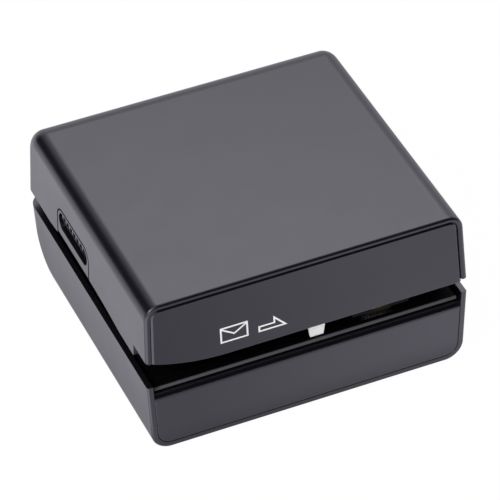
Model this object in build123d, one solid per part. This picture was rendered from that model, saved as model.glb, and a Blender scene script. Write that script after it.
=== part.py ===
from build123d import *
import math
import os

# Electric letter opener: a battery machine in two black shells, hinged at the back.
# A letter lies in the slot at the front, its edge against the stop wall, and is drawn towards +X.
# Origin: bottom centre, under the feet. +X is the letter's way, -Y the front, +Z up. Millimetres.

os.makedirs("parts", exist_ok=True)

# ---------------------------------------------------------------- body
body_width = 130.0
body_depth = 125.0
foot_height = 1.5
base_height = 32.1
parting_gap = 6.6
cover_height = 29.8

side_wall = 2.3
cover_top_wall = 2.0
base_floor_wall = 2.4
cover_side_taper = 0.044
cover_end_taper = 0.052
base_side_taper = 0.041
base_end_taper = 0.018
cover_side_radius = 6.0
cover_back_radius = 10.5
base_side_radius = 7.75
base_back_radius = 20.0
cover_front_round = 1.2
base_front_round = 0.8

seam = 0.3
panel_seam = 0.15
panel_thickness = 2.4
panel_bevel_width = 0.8
panel_bevel_depth = 0.45
rim_bevel = 0.4
base_panel_thickness = 3.2
base_panel_seam = 0.05
base_panel_bevel = 0.3
base_panel_round = 2.6

# ---------------------------------------------------------------- slot
slot_depth = 13.0
slot_height = 8.3
floor_step = 2.7
floor_thickness = 1.6
nose_setback = 2.0
flare_run = 32.4
flare_radius = 88.0
stop_wall_thickness = 1.8
stop_wall_rise = 2.0
guide_thickness = 1.5
guide_gap = 0.6
skirt_setback = 3.4
skirt_wall = 1.6
skirt_overlap = 3.8
skirt_depth = 9.6
skirt_front_radius = 2.5
skirt_back_radius = 5.5
floor_rib_height = 0.25
floor_rib_width = 1.0
floor_rib_setback = 6.5
floor_rib_pitch = 3.0
floor_rib_count = 2

# ---------------------------------------------------------------- fits
running_gap = 0.05
fixed_gap = 0.02
side_gap = 0.3
wheel_gap = 0.35

# ---------------------------------------------------------------- hinge
hinge_spacing = 80.0
hinge_barrel_radius = 3.0
hinge_setback = 3.2
hinge_knuckle_width = 8.0
hinge_ear_width = 5.0
hinge_pin_radius = 1.2
hinge_root_depth = 1.0

# ---------------------------------------------------------------- feed, cutter and gears
feed_from_right = 34.7
wheel_radius = 11.0
wheel_width = 4.2
wheel_proud = 0.2
tyre_thickness = 3.0
feed_shaft_radius = 2.0
motor_from_feed = 15.2
cutter_rise = 4.1
motor_shaft_radius = 1.0
motor_radius = 12.1
motor_length = 27.0
motor_cap_length = 4.0
motor_boss_radius = 3.1
motor_boss_length = 1.3
cutter_radius = 9.0
cutter_width = 1.2
cutter_teeth = 24
cutter_tooth_depth = 1.1
knurl_teeth = 56
knurl_depth = 0.45
gear_module = 0.5
gear_width = 3.0
gear_gap = 1.0
pinion_teeth = 12
large_gear_teeth = 50
feed_gear_teeth = 56
gear_addendum = 0.85
gear_backlash = 0.12
pressure_angle = math.radians(20)
compound_pin_radius = 1.5
gear_plate_thickness = 1.5
gear_space = 9.2
gear_plate_margin = 3.5
bush_wall = 1.5

# ---------------------------------------------------------------- pressure arm
arm_pivot_offset = (19.2, 8.0)
arm_plate = 0.9
arm_eye_radius = 3.5
arm_pin_radius = 1.5
wheel_pin_radius = 1.25
arm_spring_radius = 2.1
guard_depth = 3.7
guard_wall = 0.9
guard_width = 23.5
guard_window = 6.5
guard_round = 1.0
web_height = 19.5
web_margin = 3.1
web_overhang = 5.5
flange_thickness = 2.0
post_from_switch = 4.9
post_from_arm = 11.5

# ---------------------------------------------------------------- start lever and switch
lever_from_feed = 25.7
lever_pivot_rise = 12.8
lever_thickness = 0.9
lever_top_width = 7.1
lever_tip_width = 5.3
lever_pin_radius = 1.0
lever_cam_radius = 4.0
lever_cam_flat = 3.0
lever_hub_length = 3.6
switch_length = 13.0
switch_height = 6.5
switch_width = 6.0
plunger_size = 1.4
plunger_rest_gap = 0.15
wire_radius = 0.25

# ---------------------------------------------------------------- latch
latch_from_back = 34.8
latch_length = 32.4
latch_gap = 0.45
latch_groove_width = 0.4
latch_groove_depth = 0.5
latch_top_above_edge = 14.5
latch_bottom_above_edge = 2.2
latch_corner_radius = 5.0
latch_flange = 1.4
grip_length = 29.3
grip_height = 7.6
grip_centre_above_edge = 9.4
grip_shallow = 0.9
grip_deep = 2.9
grip_rib_height = 1.2
grip_rib_width = 1.0
grip_rib_pitch = 3.4
grip_rib_count = 7
arch_inset = 26.5
arch_rise = 2.0
hook_width = 7.0
hook_thickness = 1.4
hook_beam_rise = 3.5
hook_beam_height = 2.0
hook_beak_height = 1.6
hook_beak = 1.3
hook_drop = 3.6
latch_spring_radius = 2.4
latch_spring_room = 7.5
latch_stem_radius = 1.2
latch_stem_from_back = 8.0
latch_stem_rise = 9.5
clip_thickness = 0.5

# ---------------------------------------------------------------- battery
cell_radius = 7.25
cell_body_length = 49.5
cell_nub_length = 1.0
cell_nub_radius = 2.75
cell_edge_radius = 0.5
cell_pitch = 16.0
cell_count = 4
cell_floor_gap = 0.3
contact_thickness = 0.5
contact_width = 10.0
contact_spring_length = 5.5
contact_coil_radius = 3.2
contact_wire_radius = 0.35
holder_wall = 1.4
holder_gap = 0.45
holder_foot_gap = 1.0
holder_gearbox_gap = 2.0
door_thickness = 2.0
door_finger_length = 14.0
door_finger_depth = 0.8
door_finger_width = 4.0
door_finger_setback = 3.0

# ---------------------------------------------------------------- feet and screws
foot_radius = 4.5
foot_recess = 0.6
front_foot_setback = 18.5
rear_foot_setback = 25.5
foot_side_setback = 13.0
screw_radius = 1.2
screw_head_radius = 2.3
screw_head_height = 1.1
post_radius = 3.0
post_side_setback = 12.4
front_post_setback = 7.5
rear_post_setback = 42.5
case_screw_length = 9.0
guide_screw_length = 7.0
gearbox_screw_length = 6.0

# ---------------------------------------------------------------- signs on the front
sign_stroke = 0.7
sign_depth = 0.3
envelope_inset = 29.8
envelope_width = 11.2
envelope_height = 7.0
envelope_above_ceiling = 5.1
envelope_flap_drop = 3.5
arrow_gap = 4.0
arrow_length = 11.6
arrow_stem_length = 6.1
arrow_stem_height = 2.8
arrow_height = 5.7

# ---------------------------------------------------------------- levels and planes that follow
z_under = foot_height
z_rim = z_under + base_height
z_edge = z_rim + parting_gap
z_top = z_edge + cover_height
y_front = -body_depth / 2
y_back = body_depth / 2
half_width = body_width / 2
flare_start = flare_run - half_width

z_floor = z_rim - floor_step
z_ceiling = z_floor + slot_height
y_stop = y_front + slot_depth
y_nose = y_front + nose_setback
y_panel_back = y_front + panel_thickness
base_inner_z = z_under + base_floor_wall
cover_inner_z = z_top - cover_top_wall
skirt_x = half_width - skirt_setback
skirt_top = z_edge + skirt_overlap
skirt_bottom = z_rim - skirt_depth
y_skirt_back = y_back - side_wall - side_gap - cover_end_taper * skirt_overlap - running_gap

hinge_y = y_back - hinge_setback
hinge_z = z_rim + parting_gap / 2

y_guide_front = y_panel_back + fixed_gap * 5
y_guide_back = y_stop - guide_gap
y_lever_front = y_guide_front + guard_wall + side_gap / 2
y_arm_front = y_lever_front
y_wheel_front = y_arm_front + arm_plate + side_gap
y_wheel_back = y_wheel_front + wheel_width
y_arm_back = y_wheel_back + side_gap + arm_plate
y_web_front = y_arm_back + side_gap
web_thickness = y_guide_back - side_gap - y_web_front
web_top = z_ceiling + web_height

feed_x = half_width - feed_from_right
feed_z = z_floor + wheel_proud - wheel_radius
motor_x = feed_x + motor_from_feed
motor_z = z_floor + cutter_rise - cutter_radius
press_z = z_floor + wheel_proud + wheel_gap + wheel_radius
arm_pivot_x = feed_x + arm_pivot_offset[0]
arm_pivot_z = press_z + arm_pivot_offset[1]
lever_x = feed_x - lever_from_feed
lever_z = z_ceiling + lever_pivot_rise

latch_back = y_back - latch_from_back
latch_front = latch_back - latch_length
latch_middle = (latch_front + latch_back) / 2

y_gear_wall = y_stop + stop_wall_thickness
y_gear_plate = y_gear_wall + gear_space
y_front_gear = y_gear_wall + gear_gap
y_rear_gear = y_front_gear + gear_width + gear_gap
pinion_radius = gear_module * pinion_teeth / 2
large_gear_radius = gear_module * large_gear_teeth / 2
feed_gear_radius = gear_module * feed_gear_teeth / 2
y_cutter_back = y_stop - guide_gap
y_cutter_front = y_cutter_back - cutter_width

foot_x = half_width - foot_side_setback
holder_length = cell_body_length + cell_nub_length + 2 * contact_thickness + contact_spring_length
holder_width = (cell_count - 1) * cell_pitch + 2 * cell_radius + 2 * holder_gap
x_holder = -foot_x + foot_radius + seam + holder_foot_gap + holder_wall
y_holder = y_gear_plate + gear_plate_thickness + holder_gearbox_gap + holder_wall
cell_z = base_inner_z + cell_floor_gap + cell_radius


# ---------------------------------------------------------------- general shapes
def span(x0, x1, y0, y1, z0, z1):
    """Box between two corners."""
    return Pos((x0 + x1) / 2, (y0 + y1) / 2, (z0 + z1) / 2) * Box(x1 - x0, y1 - y0, z1 - z0)


def rod_x(y, z, radius, x0, x1):
    """Cylinder along X."""
    return Pos((x0 + x1) / 2, y, z) * Rot(0, 90, 0) * Cylinder(radius, x1 - x0)


def rod_y(x, z, radius, y0, y1):
    """Cylinder along Y."""
    return Pos(x, (y0 + y1) / 2, z) * Rot(90, 0, 0) * Cylinder(radius, y1 - y0)


def rod_z(x, y, radius, z0, z1):
    """Cylinder along Z."""
    return Pos(x, y, (z0 + z1) / 2) * Cylinder(radius, z1 - z0)


def along_x(face, x0, x1):
    """Extrude a face drawn in (Y, Z) from x0 to x1."""
    plane = Plane(origin=(x0, 0, 0), x_dir=(0, 1, 0), z_dir=(1, 0, 0))
    return extrude(plane * face, amount=x1 - x0)


def along_y(face, y0, y1):
    """Extrude a face drawn in (X, Z) from y0 to y1."""
    plane = Plane(origin=(0, y1, 0), x_dir=(1, 0, 0), z_dir=(0, -1, 0))
    return extrude(plane * face, amount=y1 - y0)


def polygon(*points):
    """Closed face through points."""
    return make_face(Polyline(*points, close=True))


def coil(radius, wire, length, turns):
    """Round-wire coil spring along Z, its wire's centre line from 0 to length."""
    path = Helix(pitch=length / turns, height=length, radius=radius)
    section = Plane(origin=path @ 0, z_dir=path % 0) * Circle(wire)
    return sweep(section, path=path, is_frenet=True)


# ---------------------------------------------------------------- shells
def shell_block(z_wide, z_closed, inset, closed_inset, side_radius, back_radius, tapers, front_shift=0.0):
    """Tapered block, widest at z_wide, rounded at its back and side edges towards z_closed."""
    side_taper, end_taper = tapers
    z_end = z_closed - math.copysign(closed_inset, z_closed - z_wide)
    height = abs(z_end - z_wide)
    front = y_front + front_shift
    back = y_back - inset
    profile = polygon(
        (front, z_wide),
        (front + end_taper * height, z_end),
        (back - end_taper * height, z_end),
        (back, z_wide),
    )
    corner = profile.vertices().sort_by(lambda v: abs(v.Y - z_end) * body_depth - v.X)[0]
    profile = fillet(corner, back_radius)
    half = half_width - inset
    section = polygon(
        (-half, z_wide),
        (half, z_wide),
        (half - side_taper * height, z_end),
        (-half + side_taper * height, z_end),
    )
    block = along_x(profile, -body_width, body_width) & along_y(section, -body_depth, body_depth)
    faces = block.faces().sort_by(Axis.X)
    edges = [
        edge
        for face in (faces[0], faces[-1])
        for edge in face.edges()
        if abs(edge.center().Z - z_wide) > fixed_gap and edge.center().Y > y_front + side_wall
    ]
    return fillet(edges, side_radius)


def cover_block(inset=0.0, top_inset=0.0, z_low=z_edge, front_shift=0.0):
    """The cover's outer form, or the same form set in by a wall."""
    drop = z_edge - z_low
    return shell_block(
        z_low,
        z_top,
        inset - cover_side_taper * drop,
        top_inset,
        max(cover_side_radius - inset, 1.0),
        cover_back_radius - inset,
        (cover_side_taper, cover_end_taper),
        front_shift,
    )


def base_block(inset=0.0, floor_inset=0.0, front_shift=0.0):
    """The base's outer form, or the same form set in by a wall."""
    return shell_block(
        z_rim,
        z_under,
        inset,
        floor_inset,
        base_side_radius - inset,
        base_back_radius - inset,
        (base_side_taper, base_end_taper),
        front_shift,
    )


def round_front(block, z_open, radius):
    """Round the block's front edges, but for the one on its open side."""
    front = block.faces().sort_by(Axis.Y)[0]
    edges = [edge for edge in front.edges() if abs(edge.center().Z - z_open) > fixed_gap]
    return fillet(edges, radius)


def front_slab(z_wide, z_closed, taper, thickness, setback=0.0):
    """Slab behind the leaning front face."""
    lean = taper * abs(z_closed - z_wide)
    face = polygon(
        (y_front + setback, z_wide),
        (y_front + setback + lean, z_closed),
        (y_front + setback + lean + thickness, z_closed),
        (y_front + setback + thickness, z_wide),
    )
    return along_x(face, -half_width, half_width)


def flare_rise(x):
    """Height by which the slot ceiling rises towards the left end."""
    run = max(flare_start - x, 0.0)
    return flare_radius - math.sqrt(flare_radius ** 2 - run ** 2)


def below_ceiling(lift, x0, x1, y0, y1, z_low):
    """Solid from z_low up to the slot ceiling, which is lifted and follows the flare."""
    middle = (x0 + flare_start) / 2
    level = z_ceiling + lift
    if x1 <= flare_start:
        right = x1
        middle = (x0 + x1) / 2
    else:
        right = flare_start
    arc = ThreePointArc(
        (x0, level + flare_rise(x0)),
        (middle, level + flare_rise(middle)),
        (right, level + flare_rise(right)),
    )
    if x1 > flare_start:
        rest = Polyline((right, level), (x1, level), (x1, z_low), (x0, z_low), (x0, level + flare_rise(x0)))
    else:
        rest = Polyline(
            (right, level + flare_rise(right)),
            (x1, z_low),
            (x0, z_low),
            (x0, level + flare_rise(x0)),
        )
    return along_y(make_face(arc + rest), y0, y1)


def hinge_places():
    """X of each hinge's middle."""
    return (-hinge_spacing / 2, hinge_spacing / 2)


def hinge_bore(middle):
    """Bore through one hinge."""
    reach = hinge_knuckle_width / 2 + side_gap + hinge_ear_width
    return rod_x(hinge_y, hinge_z, hinge_pin_radius + running_gap, middle - reach, middle + reach)


def hinge_lug(x0, x1, z_root):
    """Barrel length with its root block towards z_root."""
    z0, z1 = sorted((hinge_z, z_root))
    barrel = rod_x(hinge_y, hinge_z, hinge_barrel_radius, x0, x1)
    return barrel + span(x0, x1, hinge_y, hinge_y + hinge_barrel_radius, z0, z1)


def latch_outline(grow):
    """Front, top and back edge of the latch button, as a face in (Y, Z)."""
    z0 = z_edge - parting_gap / 2
    z1 = z_edge + latch_top_above_edge + grow
    face = polygon(
        (latch_front - grow, z0),
        (latch_back + grow, z0),
        (latch_back + grow, z1),
        (latch_front - grow, z1),
    )
    corners = [v for v in face.vertices() if v.Y > z_edge]
    return fillet(corners, latch_corner_radius + grow)


def cover_posts():
    """Places of the posts that hold the guide plate, under the cover's top."""
    y = y_web_front + web_thickness + post_radius
    left = switch_right() - switch_length + post_from_switch
    return ((left, y), (arm_pivot_x - post_from_arm, y))


def make_cover_shell():
    """Upper shell: open at the front and below, with hinge ears, latch opening and posts."""
    shell = round_front(cover_block(), z_edge, cover_front_round)
    shell -= cover_block(side_wall, cover_top_wall, z_edge - 1.0, -slot_depth)
    shell = bevel_rim(shell)
    inner = -half_width + 2 * side_wall
    shell -= below_ceiling(0, -half_width - 1, inner, y_front - 1, y_stop - side_gap, z_rim)
    front, back = (y_front + arch_inset, z_edge), (y_back - arch_inset, z_edge)
    arch = make_face(ThreePointArc(front, (0, z_edge + arch_rise), back) + Line(back, front))
    shell -= along_x(arch, -half_width - 1, inner)
    shell -= along_x(latch_outline(0), -half_width - 1, inner)
    groove = along_x(latch_outline(latch_groove_width), -half_width - 1, inner)
    shell -= groove - cover_block(latch_groove_depth)
    for middle in hinge_places():
        for side in (-1, 1):
            near = middle + side * (hinge_knuckle_width / 2 + side_gap)
            far = near + side * hinge_ear_width
            shell += hinge_lug(min(near, far), max(near, far), z_edge + hinge_root_depth)
        shell -= hinge_bore(middle)
    for x, y in cover_posts():
        shell += rod_z(x, y, post_radius, web_top, cover_inner_z + fixed_gap)
        shell -= rod_z(x, y, screw_radius + fixed_gap, web_top - 1, web_top + 6)
    shell += latch_wall()
    return shell


def bevel_rim(shell):
    """Bevel the inner edges of the cover's front rim, beside the panel."""
    half_rim = (side_wall + cover_front_round) / 2
    half_top = (cover_top_wall + cover_front_round) / 2
    core = cover_block(half_rim, half_top, z_edge, -1.0)
    front = shell.faces().filter_by(GeomType.PLANE).sort_by(Axis.Y)[0]
    edges = [
        edge
        for edge in front.edges()
        if edge.center().Z > z_edge + rim_bevel and core.solid().is_inside(edge.center())
    ]
    return chamfer(edges, rim_bevel)


def latch_wall():
    """Rib under the cover's top that backs the latch spring and guides the button's stem."""
    x = latch_wall_x()
    y, z = latch_stem_place()
    rib = span(x, x + hook_thickness, y - 5, y + 5, z - 5, cover_inner_z + fixed_gap)
    return rib - rod_x(y, z, latch_stem_radius + 2 * running_gap, x - 1, x + hook_thickness + 1)


def latch_stem_place():
    """Y and Z of the button's stem."""
    return (latch_back - latch_stem_from_back, z_edge + latch_stem_rise)


def latch_flange_x():
    """X of the flange's outer face, just behind the wall at the flange's top."""
    rise = latch_top_above_edge + 1.6
    return -half_width + cover_side_taper * rise + side_wall + side_gap


def latch_wall_x():
    """X of the rib's face that the latch spring rests on."""
    return latch_flange_x() + latch_flange + latch_spring_room


def bevel_front(panel, z_low):
    """Bevel the panel's front edges above a level, for the groove round it."""
    front = panel.faces().sort_by(Axis.Y)[0]
    edges = [edge for edge in front.edges() if edge.center().Z > z_low]
    return chamfer(edges, panel_bevel_width, panel_bevel_depth, reference=front)


def make_cover_panel():
    """Upper front panel, with pockets for the signs."""
    fit = cover_block(side_wall + panel_seam, cover_top_wall + panel_seam, z_ceiling - 1.0, -1.0)
    panel = front_slab(z_ceiling - 1.0, z_top, cover_end_taper, panel_thickness) & fit
    panel -= below_ceiling(0, -half_width, half_width, y_front - 5, y_front + 3 * panel_thickness, z_rim)
    panel = bevel_front(panel, z_ceiling + flare_rise(-half_width) + 1.0)
    return panel - envelope_sign() - arrow_sign()


def make_base_panel():
    """Lower front panel; its top edge is rounded over."""
    fit = base_block(side_wall + base_panel_seam, base_floor_wall + base_panel_seam, -1.0)
    slab = front_slab(z_rim, z_under, base_end_taper, base_panel_thickness)
    z_panel = z_floor - floor_thickness - guide_gap
    keep = span(-half_width, half_width, y_front - 1, y_front + slot_depth, z_under, z_panel)
    panel = slab & fit & keep
    front = panel.faces().sort_by(Axis.Y)[0]
    sides = front.edges().sort_by(Axis.X)
    panel = chamfer([sides[0], sides[-1]], base_panel_bevel)
    top = panel.edges().filter_by(Axis.X).group_by(Axis.Z)[-1].sort_by(Axis.Y)[0]
    return fillet(top, base_panel_round)


def sign_solid(face):
    """Thin inlay of a face in (X, Z), let into the leaning front panel."""
    slab = front_slab(z_ceiling - 1.0, z_top, cover_end_taper, sign_depth)
    return slab & along_y(face, y_front - 1, y_front + 2 * panel_thickness)


def stroke_of(points):
    """Outline of a closed figure, drawn with the sign's stroke inside its edge."""
    face = polygon(*points)
    return face - offset(face, -sign_stroke, kind=Kind.INTERSECTION)


def envelope_span():
    """Left and right edge of the envelope."""
    left = envelope_inset - half_width
    return left, left + envelope_width


def envelope_sign():
    """White envelope: a rectangle with its flap."""
    x0, x1 = envelope_span()
    z0 = z_ceiling + envelope_above_ceiling
    z1 = z0 + envelope_height
    frame = stroke_of([(x0, z0), (x1, z0), (x1, z1), (x0, z1)])
    middle = (x0 + x1) / 2
    reach = sign_stroke * 1.1
    flap = polygon(
        (x0, z1),
        (middle, z1 - envelope_flap_drop),
        (x1, z1),
        (x1, z1 - reach),
        (middle, z1 - envelope_flap_drop - reach),
        (x0, z1 - reach),
    )
    return sign_solid(frame + flap)


def arrow_sign():
    """White arrow outline that shows the letter's way; its lower barb is left off."""
    x0 = envelope_span()[1] + arrow_gap
    x1 = x0 + arrow_length
    z0 = z_ceiling + envelope_above_ceiling
    knee = x0 + arrow_stem_length
    points = [
        (x0, z0),
        (x1, z0),
        (knee, z0 + arrow_height),
        (knee, z0 + arrow_stem_height),
        (x0, z0 + arrow_stem_height),
    ]
    return sign_solid(stroke_of(points))


def make_base_shell():
    """Lower shell: tub with an open front, hinge knuckles, door opening, foot and screw seats."""
    shell = round_front(base_block(), z_rim, base_front_round)
    shell -= base_block(side_wall, base_floor_wall, -slot_depth)
    for middle in hinge_places():
        half = hinge_knuckle_width / 2
        shell += hinge_lug(middle - half, middle + half, z_rim - hinge_root_depth)
        shell -= hinge_bore(middle)
    x0, x1, y0, y1 = door_opening()
    shell -= span(x0, x1, y0, y1, 0, base_inner_z + 1)
    for x, y in foot_places():
        shell -= rod_z(x, y, foot_radius + seam, 0, z_under + foot_recess)
    for x, y in post_places():
        shell -= rod_z(x, y, screw_head_radius + seam, 0, z_under + screw_head_height + seam)
        shell -= rod_z(x, y, screw_radius + seam, 0, base_inner_z + 1)
    return shell


def foot_places():
    """Centres of the four feet."""
    rows = (y_front + front_foot_setback, y_back - rear_foot_setback)
    return [(side * foot_x, y) for y in rows for side in (-1, 1)]


def post_places():
    """Centres of the four case screws."""
    rows = (y_front + front_post_setback, y_back - rear_post_setback)
    return [(side * (half_width - post_side_setback), y) for y in rows for side in (-1, 1)]


def make_foot(x, y):
    """Rubber foot, let into the floor."""
    foot = rod_z(x, y, foot_radius, 0, z_under + foot_recess)
    return chamfer(foot.edges().sort_by(Axis.Z)[0], 0.4)


# ---------------------------------------------------------------- slot chassis
def skirt_block(inset, y0, z0, z1):
    """The skirt's outer form, or its inner form, with rounded upright edges."""
    block = span(-skirt_x + inset, skirt_x - inset, y0, y_skirt_back - inset, z0, z1)
    uprights = block.edges().filter_by(Axis.Z).sort_by(Axis.Y)
    block = fillet(uprights[2:], skirt_back_radius - inset)
    uprights = block.edges().filter_by(Axis.Z).sort_by(Axis.Y)
    return fillet(uprights[:2], skirt_front_radius - inset)


def make_chassis():
    """Slot floor with its nose, stop wall, skirt that shows in the parting gap, gearbox front wall."""
    ring = skirt_block(0.0, y_stop, skirt_bottom, skirt_top)
    ring -= skirt_block(skirt_wall, y_gear_wall, skirt_bottom - 1, skirt_top + 1)
    above = span(-half_width, half_width, y_stop - 1, y_gear_wall + 0.01, z_rim, skirt_top + 9)
    above -= below_ceiling(stop_wall_rise, -half_width, half_width, y_stop - 2, y_gear_wall + 1, z_rim - 1)
    ring -= above
    for middle in hinge_places():
        reach = hinge_knuckle_width / 2 + 2 * side_gap + hinge_ear_width
        low = z_rim - hinge_root_depth - side_gap
        near = hinge_y - hinge_barrel_radius - side_gap
        ring -= span(middle - reach, middle + reach, near, y_back, low, z_top)
    notch_reach = 3.0
    ring -= span(
        -half_width,
        -skirt_x + 2 * skirt_wall,
        latch_front - notch_reach,
        latch_back + notch_reach,
        z_edge + latch_bottom_above_edge - side_gap * 2,
        z_top,
    )
    ring -= span(
        -half_width,
        -skirt_x + skirt_wall / 2,
        latch_middle - hook_width / 2 - 1,
        latch_middle + hook_width / 2 + 1,
        z_edge - 1,
        z_top,
    )
    floor_x = skirt_x - side_gap / 3
    floor = span(-floor_x, floor_x, y_nose, y_stop + 0.5, z_floor - floor_thickness, z_floor)
    front = floor.edges().filter_by(Axis.X).group_by(Axis.Y)[0]
    floor = fillet(front, floor_thickness / 2 - 0.05)
    for index in range(floor_rib_count):
        y = y_front + floor_rib_setback + index * floor_rib_pitch
        floor += span(-floor_x, lever_x - 8, y, y + floor_rib_width, z_floor - 0.5, z_floor + floor_rib_height)
    wheel_half = math.sqrt(wheel_radius ** 2 - (wheel_radius - wheel_proud - floor_thickness) ** 2) + 1.2
    floor -= span(
        feed_x - wheel_half,
        feed_x + wheel_half,
        y_wheel_front - 0.4,
        y_wheel_back + 0.4,
        z_floor - 3,
        z_floor + 1,
    )
    cutter_low = z_floor - floor_thickness - motor_z
    cutter_half = math.sqrt(cutter_radius ** 2 - cutter_low ** 2) + 0.9
    floor -= span(
        motor_x - cutter_half,
        motor_x + cutter_half,
        y_cutter_front - 0.4,
        y_stop,
        z_floor - 3,
        z_floor + 1,
    )
    chassis = ring + floor
    x0, x1, z0, z1 = gear_plate_span()
    chassis += span(x0, x1, y_stop, y_gear_wall, z0, z_floor)
    for x, z in standoff_places():
        chassis += rod_y(x, z, post_radius - 1, y_gear_wall - 0.1, y_gear_plate)
        chassis -= rod_y(x, z, screw_radius - 0.2, y_gear_plate - 6, y_gear_plate + 1)
    for x, y in post_places():
        top = z_floor - floor_thickness if y < 0 else skirt_bottom + 2
        chassis += rod_z(x, y, post_radius, base_inner_z + side_gap, top)
        side = math.copysign(1, x)
        edge_x = side * (skirt_x - skirt_wall / 2)
        chassis += span(min(x, edge_x), max(x, edge_x), y - 1, y + 1, skirt_bottom, skirt_bottom + 2)
        chassis -= rod_z(x, y, screw_radius + fixed_gap, 0, base_inner_z + 9)
    bar_x = skirt_x - skirt_wall / 2
    bar_y = y_back - rear_post_setback
    chassis += span(-bar_x, bar_x, bar_y - post_radius, bar_y + post_radius, skirt_bottom, skirt_bottom + 2)
    for x, y in post_places():
        chassis -= rod_z(x, y, screw_radius + fixed_gap, 0, base_inner_z + 9)
    chassis -= rod_y(feed_x, feed_z, feed_shaft_radius + bush_wall + fixed_gap, y_stop - 1, y_gear_wall + 1)
    chassis -= rod_y(motor_x, motor_z, motor_shaft_radius + side_gap, y_stop - 1, y_gear_wall + 1)
    pin_x, pin_z = compound_place()
    chassis -= rod_y(pin_x, pin_z, compound_pin_radius + fixed_gap, y_stop + 0.6, y_gear_wall + 1)
    return chassis


def gear_plate_span():
    """Left, right, lower and upper edge of the gearbox walls."""
    left = feed_x - feed_gear_radius - gear_plate_margin
    right = motor_x + motor_radius + 1.0
    low = feed_z - feed_gear_radius + 2.0
    high = z_ceiling + stop_wall_rise - 0.2
    return left, right, low, high


def standoff_places():
    """X and Z of the three standoffs between the gearbox walls."""
    left, right, low, high = gear_plate_span()
    inset = post_radius
    return ((left + inset - 1, high - inset), (right - inset, high - inset), (right - inset, low + inset))


# ---------------------------------------------------------------- gears
def compound_place():
    """X and Z of the compound gear's pin, from the two centre distances."""
    to_motor = pinion_radius + large_gear_radius
    to_feed = pinion_radius + feed_gear_radius
    dx, dz = feed_x - motor_x, feed_z - motor_z
    distance = math.hypot(dx, dz)
    along = (to_motor ** 2 - to_feed ** 2 + distance ** 2) / (2 * distance)
    across = math.sqrt(to_motor ** 2 - along ** 2)
    ux, uz = dx / distance, dz / distance
    return motor_x + along * ux + across * uz, motor_z + along * uz - across * ux


def mesh_phase(phase, teeth, centre, other_teeth, other_centre):
    """Angle of a tooth of the other gear that puts it in mesh with the first one."""
    line = math.atan2(other_centre[1] - centre[1], other_centre[0] - centre[0])
    lead = phase - line
    return line + math.pi + math.pi / other_teeth - lead * teeth / other_teeth


def involute(angle):
    """Involute function."""
    return math.tan(angle) - angle


def gear(teeth, phase, centre, bore, y0, y1):
    """Spur gear along Y with involute flanks."""
    pitch = gear_module * teeth / 2
    base = pitch * math.cos(pressure_angle)
    tip = pitch + gear_addendum * gear_module
    root = pitch - 1.2 * gear_module
    half = math.pi / (2 * teeth) - gear_backlash / (2 * pitch) + involute(pressure_angle)
    steps = 4
    start = max(base, root)
    radii = [start + (tip - start) * step / steps for step in range(steps + 1)]
    flank = [(r, half - involute(math.acos(min(base / r, 1.0)))) for r in radii]
    if root < base:
        flank.insert(0, (root, half))
    points = []
    for tooth in range(teeth):
        middle = phase + 2 * math.pi * tooth / teeth
        for r, angle in flank:
            points.append((r * math.cos(middle - angle), r * math.sin(middle - angle)))
        for r, angle in reversed(flank):
            points.append((r * math.cos(middle + angle), r * math.sin(middle + angle)))
    face = Pos(centre[0], centre[1]) * polygon(*points)
    return along_y(face, y0, y1) - rod_y(centre[0], centre[1], bore, y0 - 1, y1 + 1)


def toothed_disc(teeth, outer, depth, lean, centre, y0, y1):
    """Disc along Y with pointed teeth; lean shifts each tip along the rim."""
    points = []
    for tooth in range(teeth):
        angle = 2 * math.pi * tooth / teeth
        points.append(((outer - depth) * math.cos(angle), (outer - depth) * math.sin(angle)))
        angle += (0.5 + lean) * 2 * math.pi / teeth
        points.append((outer * math.cos(angle), outer * math.sin(angle)))
    return along_y(Pos(centre[0], centre[1]) * polygon(*points), y0, y1)


feed_centre = (feed_x, feed_z)
motor_centre = (motor_x, motor_z)
compound_centre = compound_place()
press_centre = (feed_x, press_z)
motor_phase = 0.0
compound_phase = mesh_phase(motor_phase, pinion_teeth, motor_centre, large_gear_teeth, compound_centre)
feed_phase = mesh_phase(compound_phase, pinion_teeth, compound_centre, feed_gear_teeth, feed_centre)


def make_motor_pinion():
    """Pinion on the motor shaft."""
    y0 = y_rear_gear - 0.2
    bore = motor_shaft_radius + fixed_gap
    return gear(pinion_teeth, motor_phase, motor_centre, bore, y0, y0 + gear_width + 0.4)


def make_compound_gear():
    """Large gear and pinion in one piece, running on a pin."""
    bore = compound_pin_radius + running_gap
    large = gear(large_gear_teeth, compound_phase, compound_centre, bore, y_rear_gear, y_rear_gear + gear_width)
    small = gear(pinion_teeth, compound_phase, compound_centre, bore, y_front_gear, y_rear_gear + 0.1)
    for turn in range(5):
        angle = 2 * math.pi * (turn + 0.5) / 5
        x = compound_centre[0] + large_gear_radius * 0.6 * math.cos(angle)
        z = compound_centre[1] + large_gear_radius * 0.6 * math.sin(angle)
        large -= rod_y(x, z, large_gear_radius * 0.2, y_rear_gear - 1, y_rear_gear + gear_width + 1)
    return large + small


def make_feed_gear():
    """Gear on the feed shaft, with a hub towards the gear plate."""
    bore = feed_shaft_radius + fixed_gap
    wheel = gear(feed_gear_teeth, feed_phase, feed_centre, bore, y_front_gear, y_front_gear + gear_width)
    for turn in range(6):
        angle = 2 * math.pi * turn / 6
        x = feed_x + feed_gear_radius * 0.6 * math.cos(angle)
        z = feed_z + feed_gear_radius * 0.6 * math.sin(angle)
        wheel -= rod_y(x, z, feed_gear_radius * 0.18, y_front_gear - 1, y_front_gear + gear_width + 1)
    hub = rod_y(feed_x, feed_z, feed_shaft_radius + 1.4, y_front_gear + gear_width - 0.1, y_gear_plate - 0.9)
    return wheel + (hub - rod_y(feed_x, feed_z, bore, y_front_gear, y_gear_plate))


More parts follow.
